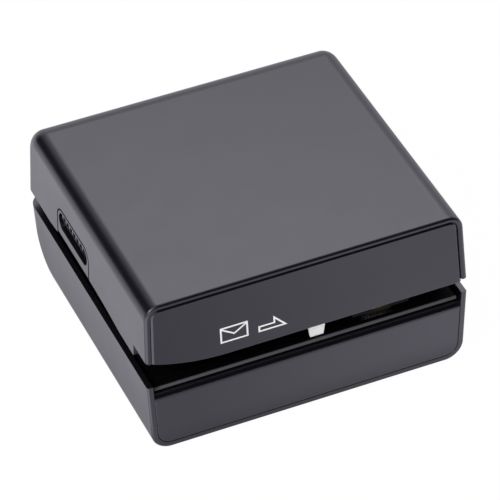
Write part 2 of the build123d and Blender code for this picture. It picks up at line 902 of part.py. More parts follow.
def make_compound_pin():
    """Pin between the gearbox walls."""
    x, z = compound_centre
    return rod_y(x, z, compound_pin_radius, y_stop + 0.7, y_gear_plate + gear_plate_thickness)


def make_feed_shaft():
    """Steel shaft of the driven wheel."""
    y_end = y_gear_plate + gear_plate_thickness + 0.6
    shaft = rod_y(feed_x, feed_z, feed_shaft_radius, y_wheel_front - 0.3, y_end)
    return chamfer(shaft.edges().filter_by(GeomType.CIRCLE), 0.2)


def make_feed_hub():
    """Plastic hub of the driven wheel."""
    outer = wheel_radius - tyre_thickness - fixed_gap
    hub = rod_y(feed_x, feed_z, outer, y_wheel_front, y_wheel_back)
    hub -= rod_y(feed_x, feed_z, outer - 1.4, y_wheel_front - 1, y_wheel_front + 1)
    hub += rod_y(feed_x, feed_z, feed_shaft_radius + 1.6, y_wheel_front, y_stop - side_gap)
    return hub - rod_y(feed_x, feed_z, feed_shaft_radius + fixed_gap, y_wheel_front - 1, y_stop)


def make_feed_tyre():
    """Rubber tyre of the driven wheel, with fine cross grooves."""
    tyre = toothed_disc(knurl_teeth, wheel_radius, knurl_depth, 0.0, feed_centre, y_wheel_front, y_wheel_back)
    return tyre - rod_y(feed_x, feed_z, wheel_radius - tyre_thickness, y_wheel_front - 1, y_wheel_back + 1)


def bush(y0, y1):
    """Sintered bush of the feed shaft."""
    outer = rod_y(feed_x, feed_z, feed_shaft_radius + bush_wall, y0, y1)
    return outer - rod_y(feed_x, feed_z, feed_shaft_radius + running_gap, y0 - 1, y1 + 1)


def make_front_bush():
    """Bush in the gearbox's front wall."""
    return bush(y_stop, y_gear_wall + 0.4)


def make_rear_bush():
    """Bush in the gear plate."""
    return bush(y_gear_plate - 0.5, y_gear_plate + gear_plate_thickness + 0.3)


def make_cutter():
    """Steel milling cutter on the end of the motor shaft."""
    lean = 0.38
    y0, y1 = y_cutter_front, y_cutter_back
    disc = toothed_disc(cutter_teeth, cutter_radius, cutter_tooth_depth, lean, motor_centre, y0, y1)
    disc += rod_y(motor_x, motor_z, cutter_radius * 0.32, y_cutter_front - 1.2, y_cutter_back + 0.2)
    return disc - rod_y(motor_x, motor_z, motor_shaft_radius + fixed_gap, y_cutter_front - 2, y_stop)


def make_motor_shaft():
    """Motor shaft, from inside the can to the cutter."""
    return rod_y(motor_x, motor_z, motor_shaft_radius, y_cutter_front - 1.0, y_gear_plate + 9)


def make_gear_plate():
    """Rear wall of the gearbox, which carries the motor."""
    x0, x1, z0, z1 = gear_plate_span()
    y0, y1 = y_gear_plate, y_gear_plate + gear_plate_thickness
    plate = span(x0, x1, y0, y1, z0, z1)
    plate = fillet(plate.edges().filter_by(Axis.Y), 2.0)
    plate -= rod_y(motor_x, motor_z, motor_boss_radius + running_gap, y0 - 1, y1 + 1)
    plate -= rod_y(feed_x, feed_z, feed_shaft_radius + bush_wall + fixed_gap, y0 - 1, y1 + 1)
    x, z = compound_centre
    plate -= rod_y(x, z, compound_pin_radius + fixed_gap, y0 - 1, y1 + 1)
    for x, z in list(standoff_places()) + motor_screw_places():
        plate -= rod_y(x, z, screw_radius + fixed_gap, y0 - 1, y1 + 1)
    return plate


def motor_screw_places():
    """X and Z of the two screws that hold the motor."""
    reach = motor_radius * 0.66
    return [(motor_x, motor_z + side * reach) for side in (-1, 1)]


def make_motor_can():
    """Steel motor can with its boss."""
    y0 = y_gear_plate + gear_plate_thickness + running_gap
    can = rod_y(motor_x, motor_z, motor_radius, y0, y0 + motor_length)
    can = fillet(can.edges().sort_by(Axis.Y)[0], 1.5)
    can += rod_y(motor_x, motor_z, motor_boss_radius, y0 - motor_boss_length, y0 + 0.5)
    can -= rod_y(motor_x, motor_z, motor_shaft_radius + running_gap, y0 - 2, y0 + 9)
    for x, z in motor_screw_places():
        can -= rod_y(x, z, screw_radius - 0.18, y0 - 1, y0 + 4)
    return can


def motor_back():
    """Y of the can's rear face."""
    return y_gear_plate + gear_plate_thickness + running_gap + motor_length


def make_motor_cap():
    """Plastic end cap of the motor."""
    y0 = motor_back()
    cap = rod_y(motor_x, motor_z, motor_radius - 0.5, y0, y0 + motor_cap_length)
    cap = fillet(cap.edges().sort_by(Axis.Y)[-1], 1.0)
    return cap + rod_y(motor_x, motor_z, motor_boss_radius, y0, y0 + motor_cap_length + 1.2)


def make_terminals():
    """Two terminal tabs of the motor."""
    tabs = []
    for side in (-1, 1):
        x = motor_x + side * motor_radius * 0.62
        y0 = motor_back() + motor_cap_length
        tab = span(x - 1.2, x + 1.2, y0, y0 + 4, motor_z - 0.25, motor_z + 0.25)
        tabs.append(tab - rod_z(x, y0 + 2.6, 0.5, motor_z - 1, motor_z + 1))
    return Compound(children=tabs)


# ---------------------------------------------------------------- guide plate, arm and pressure wheel
def make_guide():
    """Slot ceiling with the upright web that carries lever, switch and arm, and the wheel's guard."""
    lean = cover_side_taper * (flare_rise(-half_width) + guide_thickness)
    half = half_width - side_wall - side_gap - lean
    plate = below_ceiling(guide_thickness, -half, half, y_panel_back, y_guide_back, z_rim)
    plate -= below_ceiling(0, -half_width, half_width, y_front, y_stop, z_rim - 1)
    plate -= front_slab(z_ceiling - 1.0, z_top, cover_end_taper, y_guide_front - y_front)
    left = switch_right() - switch_length - web_margin
    right = arm_pivot_x + web_overhang
    web = span(left, right, y_web_front, y_web_front + web_thickness, z_ceiling + 0.5, web_top)
    near_post, far_post = cover_posts()
    y_flange = near_post[1] + post_radius
    z_flange = web_top - flange_thickness
    flange = span(left, far_post[0] + 2 * post_radius, y_web_front, y_flange, z_flange, web_top)
    plate += web + flange
    wheel_reach = wheel_radius + 1.8
    plate -= span(
        feed_x - wheel_reach - 0.6,
        feed_x + wheel_reach,
        y_lever_front - 0.15,
        y_web_front - 0.1,
        z_ceiling - 1,
        z_ceiling + guide_thickness + 1,
    )
    plate -= span(
        lever_x - lever_top_width / 2 - 0.8,
        feed_x - wheel_reach,
        y_lever_front - 0.15,
        y_lever_front + lever_thickness + 0.3,
        z_ceiling - 1,
        z_ceiling + guide_thickness + 1,
    )
    for side in (-1, 1):
        near = feed_x + side * guard_window / 2
        far = feed_x + side * guard_width / 2
        lip = span(
            min(near, far),
            max(near, far),
            y_guide_front,
            y_guide_front + guard_wall,
            z_ceiling - guard_depth,
            z_ceiling + 0.5,
        )
        plate += fillet(lip.edges().filter_by(Axis.Y).group_by(Axis.Z)[0], guard_round)
    y0, y1 = y_web_front - 1, y_web_front + web_thickness + 1
    plate -= rod_y(lever_x, lever_z, lever_pin_radius + fixed_gap, y0, y1)
    plate -= rod_y(arm_pivot_x, arm_pivot_z, arm_pin_radius + fixed_gap, y0, y1)
    for x, y in cover_posts():
        plate -= rod_z(x, y, screw_radius + fixed_gap * 2, web_top - 3, web_top + 1)
    return plate


def make_arm():
    """Forked arm that presses the upper wheel down."""
    fork = None
    length = math.hypot(*arm_pivot_offset)
    tilt = math.degrees(math.atan2(arm_pivot_offset[1], arm_pivot_offset[0]))
    middle = ((feed_x + arm_pivot_x) / 2, (press_z + arm_pivot_z) / 2)
    outline = Pos(*middle) * Rot(0, 0, tilt) * SlotCenterToCenter(length, 2 * arm_eye_radius)
    for y0 in (y_arm_front, y_arm_back - arm_plate):
        cheek = along_y(outline, y0, y0 + arm_plate)
        fork = cheek if fork is None else fork + cheek
    bridge_x = arm_pivot_x - 4.8
    bridge_z = arm_pivot_z - 0.5
    fork += span(bridge_x - 2.4, bridge_x + 1.4, y_arm_front, y_arm_back, bridge_z - 3.5, bridge_z + 1.5)
    fork -= rod_y(feed_x, press_z, wheel_pin_radius + fixed_gap, y_arm_front - 1, y_arm_back + 1)
    fork -= rod_y(arm_pivot_x, arm_pivot_z, arm_pin_radius + running_gap, y_arm_front - 1, y_arm_back + 1)
    return fork


def make_arm_pin():
    """Pivot pin of the arm, set in the web."""
    y1 = y_web_front + web_thickness
    return rod_y(arm_pivot_x, arm_pivot_z, arm_pin_radius, y_arm_front - side_gap / 3, y1)


def arm_spring_place():
    """X, Y, lower and upper end of the arm's spring."""
    x = arm_pivot_x - 5.3
    y = (y_arm_front + y_arm_back) / 2
    return x, y, arm_pivot_z + 1.0, cover_inner_z


def make_arm_spring():
    """Compression spring between the arm and the cover's top."""
    x, y, z0, z1 = arm_spring_place()
    clear = wire_radius + side_gap / 2
    return Pos(x, y, z0 + clear) * coil(arm_spring_radius - wire_radius, wire_radius, z1 - z0 - 2 * clear, 8)


def make_press_wheel():
    """Knurled pressure wheel."""
    wheel = toothed_disc(knurl_teeth, wheel_radius, knurl_depth, 0.0, press_centre, y_wheel_front, y_wheel_back)
    wheel -= rod_y(feed_x, press_z, wheel_radius * 0.72, y_wheel_front - 1, y_wheel_front + 1)
    wheel += rod_y(feed_x, press_z, wheel_pin_radius + 1.4, y_wheel_front, y_wheel_front + 2)
    return wheel - rod_y(feed_x, press_z, wheel_pin_radius + running_gap, y_wheel_front - 1, y_wheel_back + 1)


def make_press_wheel_pin():
    """Pin of the pressure wheel, set in the arm's cheeks."""
    y0, y1 = y_arm_front - side_gap / 3, y_arm_back + side_gap / 3
    return rod_y(feed_x, press_z, wheel_pin_radius, y0, y1)


# ---------------------------------------------------------------- start lever and switch
def make_lever():
    """Start lever: cam hub, blade and rounded tip."""
    z_tip = z_floor + side_gap
    hub = rod_y(lever_x, lever_z, lever_cam_radius, y_lever_front, y_lever_front + lever_hub_length)
    flat = lever_x - lever_cam_flat
    hub -= span(flat - 3, flat, y_lever_front - 1, y_lever_front + 9, lever_z - 9, lever_z + 9)
    left, right = lever_x - lever_top_width / 2, lever_x + lever_top_width / 2
    tip_left = lever_x - lever_tip_width / 2
    tip_right = tip_left + lever_tip_width
    z_mid = z_tip + slot_height * 0.7
    outline = make_face(
        Polyline((tip_right, z_tip), (tip_left, z_tip), (left, z_mid), (lever_x - 2.5, lever_z))
        + Line((lever_x - 2.5, lever_z), (lever_x + 2.5, lever_z))
        + Line((lever_x + 2.5, lever_z), (right, z_mid + 1.5))
        + ThreePointArc((right, z_mid + 1.5), (right - 0.35, (z_mid + z_tip) / 2), (tip_right, z_tip))
    )
    lever = hub + along_y(outline, y_lever_front, y_lever_front + lever_thickness)
    return lever - rod_y(lever_x, lever_z, lever_pin_radius + running_gap, y_lever_front - 1, y_lever_front + 9)


def make_lever_pin():
    """Pin of the start lever, set in the web."""
    return rod_y(lever_x, lever_z, lever_pin_radius, y_lever_front - 0.1, y_web_front + web_thickness)


def make_lever_spring():
    """Torsion spring round the lever's pin."""
    y0 = y_lever_front + lever_hub_length + side_gap + wire_radius
    length = y_web_front - side_gap - wire_radius - y0
    spring = coil(lever_pin_radius + 0.9, wire_radius, length, 3)
    return Pos(lever_x, y0 + length, lever_z) * Rot(90, 0, 0) * spring


def switch_right():
    """X of the switch's plunger face."""
    return lever_x - lever_cam_flat - plunger_rest_gap - 1.3


def make_switch():
    """Switch housing, fixed to the web."""
    x1 = switch_right()
    y1 = y_web_front - side_gap / 2
    z0, z1 = lever_z - switch_height / 2, lever_z + switch_height / 2
    body = span(x1 - switch_length, x1, y1 - switch_width, y1, z0, z1)
    body = chamfer(body.edges().filter_by(Axis.Y), 0.4)
    half = plunger_size / 2 + running_gap
    middle = y1 - switch_width / 2
    body -= span(x1 - 3.5, x1 + 1, middle - half, middle + half, lever_z - half, lever_z + half)
    for side in (-1, 1):
        x = x1 - switch_length / 2 + side * 3.2
        body -= rod_y(x, lever_z - 1.6, 0.9, y1 - switch_width - 1, y1 + 1)
    return body


def make_plunger():
    """Switch plunger, pushed by the lever's cam."""
    x1 = switch_right()
    middle = y_web_front - side_gap / 2 - switch_width / 2
    half = plunger_size / 2
    return span(x1 - 2.0, x1 + 1.3, middle - half, middle + half, lever_z - half, lever_z + half)


# ---------------------------------------------------------------- latch
def grip_wedge(deeper):
    """Slanting recess: shallow above, deep below, as a solid along Y."""
    z0 = z_edge + grip_centre_above_edge - grip_height / 2
    z1 = z0 + grip_height
    outer = -half_width + cover_side_taper * grip_centre_above_edge
    face = polygon(
        (outer - 2, z0),
        (outer - 2, z1),
        (outer + grip_shallow + deeper, z1),
        (outer + grip_deep + deeper, z0),
    )
    return along_y(face, latch_front, latch_back)


def make_latch_button():
    """Push button in the left wall, with its finger recess, flange, stem and hook."""
    x_flange = latch_flange_x()
    body = along_x(latch_outline(-latch_gap), -half_width - 1, x_flange + latch_flange)
    body &= cover_block() + span(-half_width + 2, 0, y_front, y_back, z_rim, z_top)
    z_low = z_edge + latch_bottom_above_edge
    body -= span(-half_width - 2, 0, y_front, y_back, z_rim - 5, z_low)
    flange = along_x(latch_outline(1.2), x_flange, x_flange + latch_flange)
    flange -= span(-half_width - 2, 0, y_front, y_back, z_rim - 5, z_low)
    body += flange
    stadium = Pos(latch_middle, z_edge + grip_centre_above_edge) * SlotOverall(grip_length, grip_height)
    recess = along_x(stadium, -half_width - 1, x_flange)
    ribs = None
    for index in range(grip_rib_count):
        y = latch_middle + (index - (grip_rib_count - 1) / 2) * grip_rib_pitch
        half = grip_rib_width / 2
        rib = span(-half_width - 2, 0, y - half, y + half, z_edge, z_top)
        ribs = rib if ribs is None else ribs + rib
    body -= recess & grip_wedge(-grip_rib_height)
    body -= (recess & grip_wedge(0.0)) - ribs
    y, z = latch_stem_place()
    x_back = x_flange + latch_flange
    body += rod_x(y, z, latch_stem_radius, x_back - 0.2, latch_wall_x() + hook_thickness + 0.6)
    x_arm = clip_x() + clip_thickness + hook_beak + 0.3
    y0, y1 = latch_middle - hook_width / 2, latch_middle + hook_width / 2
    z_beak = z_edge - hook_drop
    z_beam = z_low + hook_beam_rise
    body += span(x_back - 0.2, x_arm + hook_thickness, y0, y1, z_beam, z_beam + hook_beam_height)
    body += span(x_arm, x_arm + hook_thickness, y0, y1, z_beak, z_beam + hook_beam_height / 2)
    body += span(x_arm - hook_beak, x_arm + 0.1, y0, y1, z_beak, z_beak + hook_beak_height)
    return body


def clip_x():
    """X of the clip's outer face, against the skirt's inner face."""
    return -skirt_x + skirt_wall


def make_latch_clip():
    """Spring-steel clip on the skirt, whose lip holds the hook."""
    x0 = clip_x() + fixed_gap
    x1 = x0 + clip_thickness
    y0, y1 = latch_middle - hook_width / 2 - clip_thickness, latch_middle + hook_width / 2 + clip_thickness
    z_lip = z_edge - hook_drop + hook_beak_height + side_gap
    clip = span(x0, x1, y0, y1, skirt_bottom + 1, z_lip + clip_thickness)
    clip += span(x0, x1 + hook_beak - 0.3, y0, y1, z_lip, z_lip + clip_thickness)
    return clip


def make_latch_spring():
    """Compression spring behind the button."""
    y, z = latch_stem_place()
    x0 = latch_flange_x() + latch_flange
    x1 = latch_wall_x()
    clear = wire_radius + side_gap / 2
    spring = coil(latch_spring_radius - wire_radius, wire_radius, x1 - x0 - 2 * clear, 5)
    return Pos(x0 + clear, y, z) * Rot(0, 90, 0) * spring


# ---------------------------------------------------------------- battery
def door_opening():
    """Left, right, front and back edge of the opening for the cells."""
    return x_holder, x_holder + holder_width, y_holder, y_holder + holder_length


def place_cell(shape, index):
    """Put a shape drawn round a cell's middle in its place; every other cell points forward."""
    x = x_holder + holder_gap + cell_radius + index * cell_pitch
    return Pos(x, y_holder + holder_length / 2, cell_z) * Rot(0, 0, 180 * (index % 2)) * shape


def make_holder():
    """Battery holder: a box, open below, with ribs between the cells."""
    x0, x1, y0, y1 = door_opening()
    z0 = base_inner_z + fixed_gap
    z1 = cell_z + cell_radius + holder_gap
    w = holder_wall
    box = span(x0 - w, x1 + w, y0 - w, y1 + w, z0, z1 + w)
    box = fillet(box.edges().filter_by(Axis.Z), w)
    box -= span(x0, x1, y0, y1, z0 - 1, z1)
    rib_half = (cell_pitch / 2 - cell_radius) * 0.7
    for index in range(cell_count - 1):
        x = x0 + holder_gap + cell_radius + (index + 0.5) * cell_pitch
        box += span(x - rib_half, x + rib_half, y0, y1, cell_z, z1 + w / 2)
    return box


def make_door():
    """Battery door with a finger groove."""
    x0, x1, y0, y1 = door_opening()
    door = span(x0 + seam, x1 - seam, y0 + seam, y1 - seam, z_under, z_under + door_thickness)
    middle = (x0 + x1) / 2
    half = door_finger_length / 2
    y_groove = y0 + door_finger_setback
    z_groove = z_under + door_finger_depth
    return door - span(middle - half, middle + half, y_groove, y_groove + door_finger_width, 0, z_groove)


def make_cell(index):
    """Round cell; its nub points away from its contact spring."""
    y0 = contact_thickness + contact_spring_length - holder_length / 2
    y1 = y0 + cell_body_length
    body = rod_y(0, 0, cell_radius, y0, y1)
    body = fillet(body.edges().filter_by(GeomType.CIRCLE), cell_edge_radius)
    return place_cell(body + rod_y(0, 0, cell_nub_radius, y1, y1 + cell_nub_length), index)


def contact_blade(y0):
    """Flat contact of one cell, drawn round the cell's middle."""
    half = contact_width / 2
    return span(-half, half, y0, y0 + contact_thickness, -half, half)


def make_contact_springs():
    """Coil contacts with their blades, one for each cell."""
    y0 = -holder_length / 2
    length = contact_spring_length - 2 * contact_wire_radius
    spring = coil(contact_coil_radius, contact_wire_radius, length, 3.5)
    root = y0 + contact_thickness + contact_wire_radius - running_gap
    contact = contact_blade(y0) + Pos(0, root, 0) * Rot(-90, 0, 0) * spring
    return Compound(children=[place_cell(contact, index) for index in range(cell_count)])


def make_contact_plates():
    """Flat contacts at the nub ends, one for each cell."""
    blade = contact_blade(holder_length / 2 - contact_thickness)
    return Compound(children=[place_cell(blade, index) for index in range(cell_count)])


# ---------------------------------------------------------------- screws
def screw(x, y, z_head, length):
    """Screw along +Z with its head's underside at z_head."""
    head = rod_z(x, y, screw_head_radius, z_head - screw_head_height, z_head)
    head = fillet(head.edges().sort_by(Axis.Z)[0], 0.5)
    head -= span(x - 1.4, x + 1.4, y - 0.3, y + 0.3, z_head - screw_head_height - 1, z_head - 0.5)
    head -= span(x - 0.3, x + 0.3, y - 1.4, y + 1.4, z_head - screw_head_height - 1, z_head - 0.5)
    return head + rod_z(x, y, screw_radius, z_head - 0.1, z_head + length)


def turned_screw(x, y_head, z, length, radius):
    """Screw along -Y with its head's underside at y_head."""
    head = rod_y(x, z, screw_head_radius, y_head, y_head + screw_head_height)
    head -= span(x - 1.4, x + 1.4, y_head + 0.5, y_head + 3, z - 0.3, z + 0.3)
    return head + rod_y(x, z, radius, y_head - length, y_head + 0.1)


def make_case_screws():
    """Four screws through the base's floor."""
    z_head = z_under + screw_head_height + seam
    return Compound(children=[screw(x, y, z_head, case_screw_length) for x, y in post_places()])


def make_guide_screws():
    """Two screws that hold the guide plate to the cover's posts."""
    z_head = web_top - flange_thickness
    return Compound(children=[screw(x, y, z_head, guide_screw_length) for x, y in cover_posts()])


def make_gearbox_screws():
    """Three screws that hold the gear plate to the standoffs."""
    y = y_gear_plate + gear_plate_thickness
    radius = screw_radius - 0.22
    length = gearbox_screw_length
    return Compound(children=[turned_screw(x, y, z, length, radius) for x, z in standoff_places()])


def make_motor_screws():
    """Two screws that hold the motor, put in from the gear side."""
    screws = []
    for x, z in motor_screw_places():
        head = rod_y(x, z, screw_radius + 0.6, y_gear_plate - 0.7, y_gear_plate)
        screws.append(head + rod_y(x, z, screw_radius - 0.2, y_gear_plate - 0.1, y_gear_plate + 4.5))
    return Compound(children=screws)


# ---------------------------------------------------------------- the parts
def make_hinge_pin(middle):
    """Steel pin through one hinge."""
    reach = hinge_knuckle_width / 2 + side_gap + hinge_ear_width
    return rod_x(hinge_y, hinge_z, hinge_pin_radius, middle - reach, middle + reach)


makers = {
    "base_shell": make_base_shell,
    "base_front_panel": make_base_panel,
    "slot_chassis": make_chassis,
    "cover_shell": make_cover_shell,
    "cover_front_panel": make_cover_panel,
    "envelope_sign": envelope_sign,
    "arrow_sign": arrow_sign,
    "guide_plate": make_guide,
    "latch_button": make_latch_button,
    "latch_spring": make_latch_spring,
    "latch_clip": make_latch_clip,
    "start_lever": make_lever,
    "lever_pin": make_lever_pin,
    "lever_spring": make_lever_spring,
    "switch_body": make_switch,
    "switch_plunger": make_plunger,
    "pressure_arm": make_arm,
    "arm_pin": make_arm_pin,
    "arm_spring": make_arm_spring,
    "pressure_wheel": make_press_wheel,
    "pressure_wheel_pin": make_press_wheel_pin,
    "feed_shaft": make_feed_shaft,
    "feed_hub": make_feed_hub,
    "feed_tyre": make_feed_tyre,
    "feed_gear": make_feed_gear,
    "feed_bush_front": make_front_bush,
    "feed_bush_rear": make_rear_bush,
    "compound_gear": make_compound_gear,
    "compound_pin": make_compound_pin,
    "motor_can": make_motor_can,
    "motor_cap": make_motor_cap,
    "motor_terminals": make_terminals,
    "motor_shaft": make_motor_shaft,
    "motor_pinion": make_motor_pinion,
    "cutter": make_cutter,
    "gear_plate": make_gear_plate,
    "battery_holder": make_holder,
    "battery_door": make_door,
    "contact_springs": make_contact_springs,
    "contact_plates": make_contact_plates,
    "case_screws": make_case_screws,
    "guide_screws": make_guide_screws,
    "gearbox_screws": make_gearbox_screws,
    "motor_screws": make_motor_screws,
}

for name, make in makers.items():
    export_step(make(), f"parts/{name}.step")
for index, (x, y) in enumerate(foot_places()):
    export_step(make_foot(x, y), f"parts/foot_{index + 1}.step")
for index, middle in enumerate(hinge_places()):
    export_step(make_hinge_pin(middle), f"parts/hinge_pin_{index + 1}.step")
for index in range(cell_count):
    export_step(make_cell(index), f"parts/cell_{index + 1}.step")
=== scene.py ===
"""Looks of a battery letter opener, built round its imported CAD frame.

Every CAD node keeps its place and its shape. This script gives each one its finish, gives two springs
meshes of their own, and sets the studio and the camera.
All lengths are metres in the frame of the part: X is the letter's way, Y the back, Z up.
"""

from __future__ import annotations

import logging
import math
from dataclasses import dataclass, field
from enum import Enum

import bpy
from mathutils import Matrix, Vector


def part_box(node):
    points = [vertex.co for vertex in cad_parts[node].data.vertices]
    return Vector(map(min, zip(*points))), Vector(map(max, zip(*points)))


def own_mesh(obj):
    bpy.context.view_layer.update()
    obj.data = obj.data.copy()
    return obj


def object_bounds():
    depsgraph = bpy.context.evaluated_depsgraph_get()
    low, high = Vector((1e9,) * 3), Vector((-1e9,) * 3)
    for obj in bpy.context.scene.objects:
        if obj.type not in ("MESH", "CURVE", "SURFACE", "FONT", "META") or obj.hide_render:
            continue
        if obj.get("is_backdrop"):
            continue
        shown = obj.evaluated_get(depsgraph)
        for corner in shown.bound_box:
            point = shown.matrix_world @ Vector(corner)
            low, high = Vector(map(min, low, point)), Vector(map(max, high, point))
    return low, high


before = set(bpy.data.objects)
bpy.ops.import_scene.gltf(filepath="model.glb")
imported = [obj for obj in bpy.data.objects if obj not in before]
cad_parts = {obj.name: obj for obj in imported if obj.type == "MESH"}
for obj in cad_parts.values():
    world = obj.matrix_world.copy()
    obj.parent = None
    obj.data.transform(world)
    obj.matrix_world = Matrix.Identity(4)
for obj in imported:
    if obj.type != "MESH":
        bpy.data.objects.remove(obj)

LOG = logging.getLogger("letter_opener")
MM = 0.001

Colour = tuple[float, float, float]


class Axis(Enum):
    """Direction along which a metal was drawn, rolled or turned."""

    X = (0.04, 1.0, 1.0)
    Y = (1.0, 0.04, 1.0)
    Z = (1.0, 1.0, 0.04)
    NONE = (1.0, 1.0, 1.0)


class Texture(Enum):
    """How a mould or a blank was surfaced."""

    POLISHED = 0.15
    FINE = 0.35
    COARSE = 1.0


# ---------------------------------------------------------------- node helper
@dataclass
class Graph:
    """The node tree of a material or a world, with short calls to add and join nodes."""

    owner: bpy.types.Material | bpy.types.World

    def __post_init__(self) -> None:
        """Empty the tree."""
        self.owner.use_nodes = True
        self.tree = self.owner.node_tree
        self.tree.nodes.clear()

    def principled(self) -> bpy.types.Node:
        """Put in the shader of a piece and the output.

        Returns:
            The shader's node.
        """
        self.shader = self.add("ShaderNodeBsdfPrincipled")
        self.show(self.shader.outputs["BSDF"], "ShaderNodeOutputMaterial")
        return self.shader

    def show(self, shader: bpy.types.NodeSocket, output: str) -> None:
        """Link a shader to a new output of the given kind."""
        self.join(shader, self.add(output).inputs["Surface"])

    def add(self, kind: str, **settings: object) -> bpy.types.Node:
        """Add a node.

        Args:
            kind: Blender's name of the node type.
            **settings: Properties of the node to set.

        Returns:
            The new node.
        """
        node = self.tree.nodes.new(kind)
        for name, value in settings.items():
            setattr(node, name, value)
        return node

    def join(self, source: bpy.types.NodeSocket, target: bpy.types.NodeSocket) -> None:
        """Link an output to an input."""
        self.tree.links.new(source, target)

    def place(self, stretch: Vector | None = None) -> bpy.types.NodeSocket:
        """Give the point of the surface in the part's own frame.

        Args:
            stretch: Factors on the three axes, to draw a pattern out.

        Returns:
            A vector socket.
        """
        point = self.add("ShaderNodeTexCoord").outputs["Object"]
        if stretch is None:
            return point
        scale = self.add("ShaderNodeVectorMath", operation="MULTIPLY")
        scale.inputs[1].default_value = stretch
        self.join(point, scale.inputs[0])
        return scale.outputs["Vector"]

    def noise(self, grain: float, detail: float, stretch: Vector | None = None) -> bpy.types.NodeSocket:
        """Give a noise value between 0 and 1.

        Args:
            grain: Size of a blotch, in metres.
            detail: Octaves of finer noise.
            stretch: Factors on the three axes.

        Returns:
            A value socket.
        """
        noise = self.add("ShaderNodeTexNoise")
        noise.inputs["Scale"].default_value = 1.0 / grain
        noise.inputs["Detail"].default_value = detail
        noise.inputs["Roughness"].default_value = 0.55
        self.join(self.place(stretch), noise.inputs["Vector"])
        return noise.outputs["Fac"]

    def spread(self, value: bpy.types.NodeSocket, low: float, high: float,
               window: tuple[float, float] = (0.3, 0.7)) -> bpy.types.NodeSocket:
        """Map a value from a window to a range.

        Args:
            value: The value to map.
            low: Result at the window's start.
            high: Result at the window's end.
            window: The values that give low and high.

        Returns:
            A value socket.
        """
        remap = self.add("ShaderNodeMapRange")
        self.join(value, remap.inputs["Value"])
        for name, number in zip(("From Min", "From Max", "To Min", "To Max"), (*window, low, high)):
            remap.inputs[name].default_value = number
        return remap.outputs["Result"]

    def math(self, operation: str, a: bpy.types.NodeSocket,
             b: bpy.types.NodeSocket | float) -> bpy.types.NodeSocket:
        """Join two values by an arithmetic operation.

        Args:
            operation: Blender's name of the operation.
            a: First value.
            b: Second value or a number.

        Returns:
            A value socket.
        """
        node = self.add("ShaderNodeMath", operation=operation)
        self.join(a, node.inputs[0])
        if isinstance(b, (int, float)):
            node.inputs[1].default_value = b
        else:
            self.join(b, node.inputs[1])
        return node.outputs["Value"]

    def blend(self, fac: bpy.types.NodeSocket, a: Colour | bpy.types.NodeSocket,
              b: Colour | bpy.types.NodeSocket) -> bpy.types.NodeSocket:
        """Mix two colours.

        Args:
            fac: Share of b.
            a: First colour.
            b: Second colour.

        Returns:
            A colour socket.
        """
        mix = self.add("ShaderNodeMix", data_type="RGBA")
        self.join(fac, mix.inputs["Factor"])
        for socket, colour in ((mix.inputs[6], a), (mix.inputs[7], b)):
            if isinstance(colour, tuple):
                socket.default_value = (*colour, 1.0)
            else:
                self.join(colour, socket)
        return mix.outputs[2]

    def edges(self, radius: float) -> tuple[bpy.types.NodeSocket, bpy.types.NodeSocket]:
        """Round the sharp edges in the shading and find them.

        Args:
            radius: Radius of the rounding, in metres.

        Returns:
            The rounded normal, and a mask that is 1 at an edge and 0 on a flat.
        """
        bevel = self.add("ShaderNodeBevel", samples=6)
        bevel.inputs["Radius"].default_value = radius
        geometry = self.add("ShaderNodeNewGeometry")
        dot = self.add("ShaderNodeVectorMath", operation="DOT_PRODUCT")
        self.join(bevel.outputs["Normal"], dot.inputs[0])
        self.join(geometry.outputs["Normal"], dot.inputs[1])
        return bevel.outputs["Normal"], self.spread(dot.outputs["Value"], 1.0, 0.0, (0.75, 0.99))

    def bump(self, height: bpy.types.NodeSocket, depth: float,
             normal: bpy.types.NodeSocket | None = None) -> bpy.types.NodeSocket:
        """Turn a height into a normal.

        Args:
            height: Height between 0 and 1.
            depth: What a height of 1 stands for, in metres.
            normal: The normal to start from.

        Returns:
            A vector socket.
        """
        bump = self.add("ShaderNodeBump")
        bump.inputs["Distance"].default_value = depth
        self.join(height, bump.inputs["Height"])
        if normal is not None:
            self.join(normal, bump.inputs["Normal"])
        return bump.outputs["Normal"]


# ---------------------------------------------------------------- finishes
@dataclass(frozen=True)
class Finish:
    """A finish that can be put on pieces."""

    name: str
    colour: Colour
    roughness: float

    def material(self) -> bpy.types.Material:
        """Make the finish's material once, and give the same one from then on."""
        name = f"{self.name}_finish"
        made = bpy.data.materials.get(name)
        if made is None:
            made = bpy.data.materials.new(name)
            made.diffuse_color = (*self.colour, 1.0)
            graph = Graph(made)
            graph.principled()
            self.draw(graph)
        return made

    def draw(self, graph: Graph) -> None:
        """Fill the material's node tree."""
        raise NotImplementedError

    def put_on(self, *objects: bpy.types.Object) -> None:
        """Dress objects in the finish, in place of what they wear."""
        for thing in objects:
            thing.data.materials.clear()
            thing.data.materials.append(self.material())


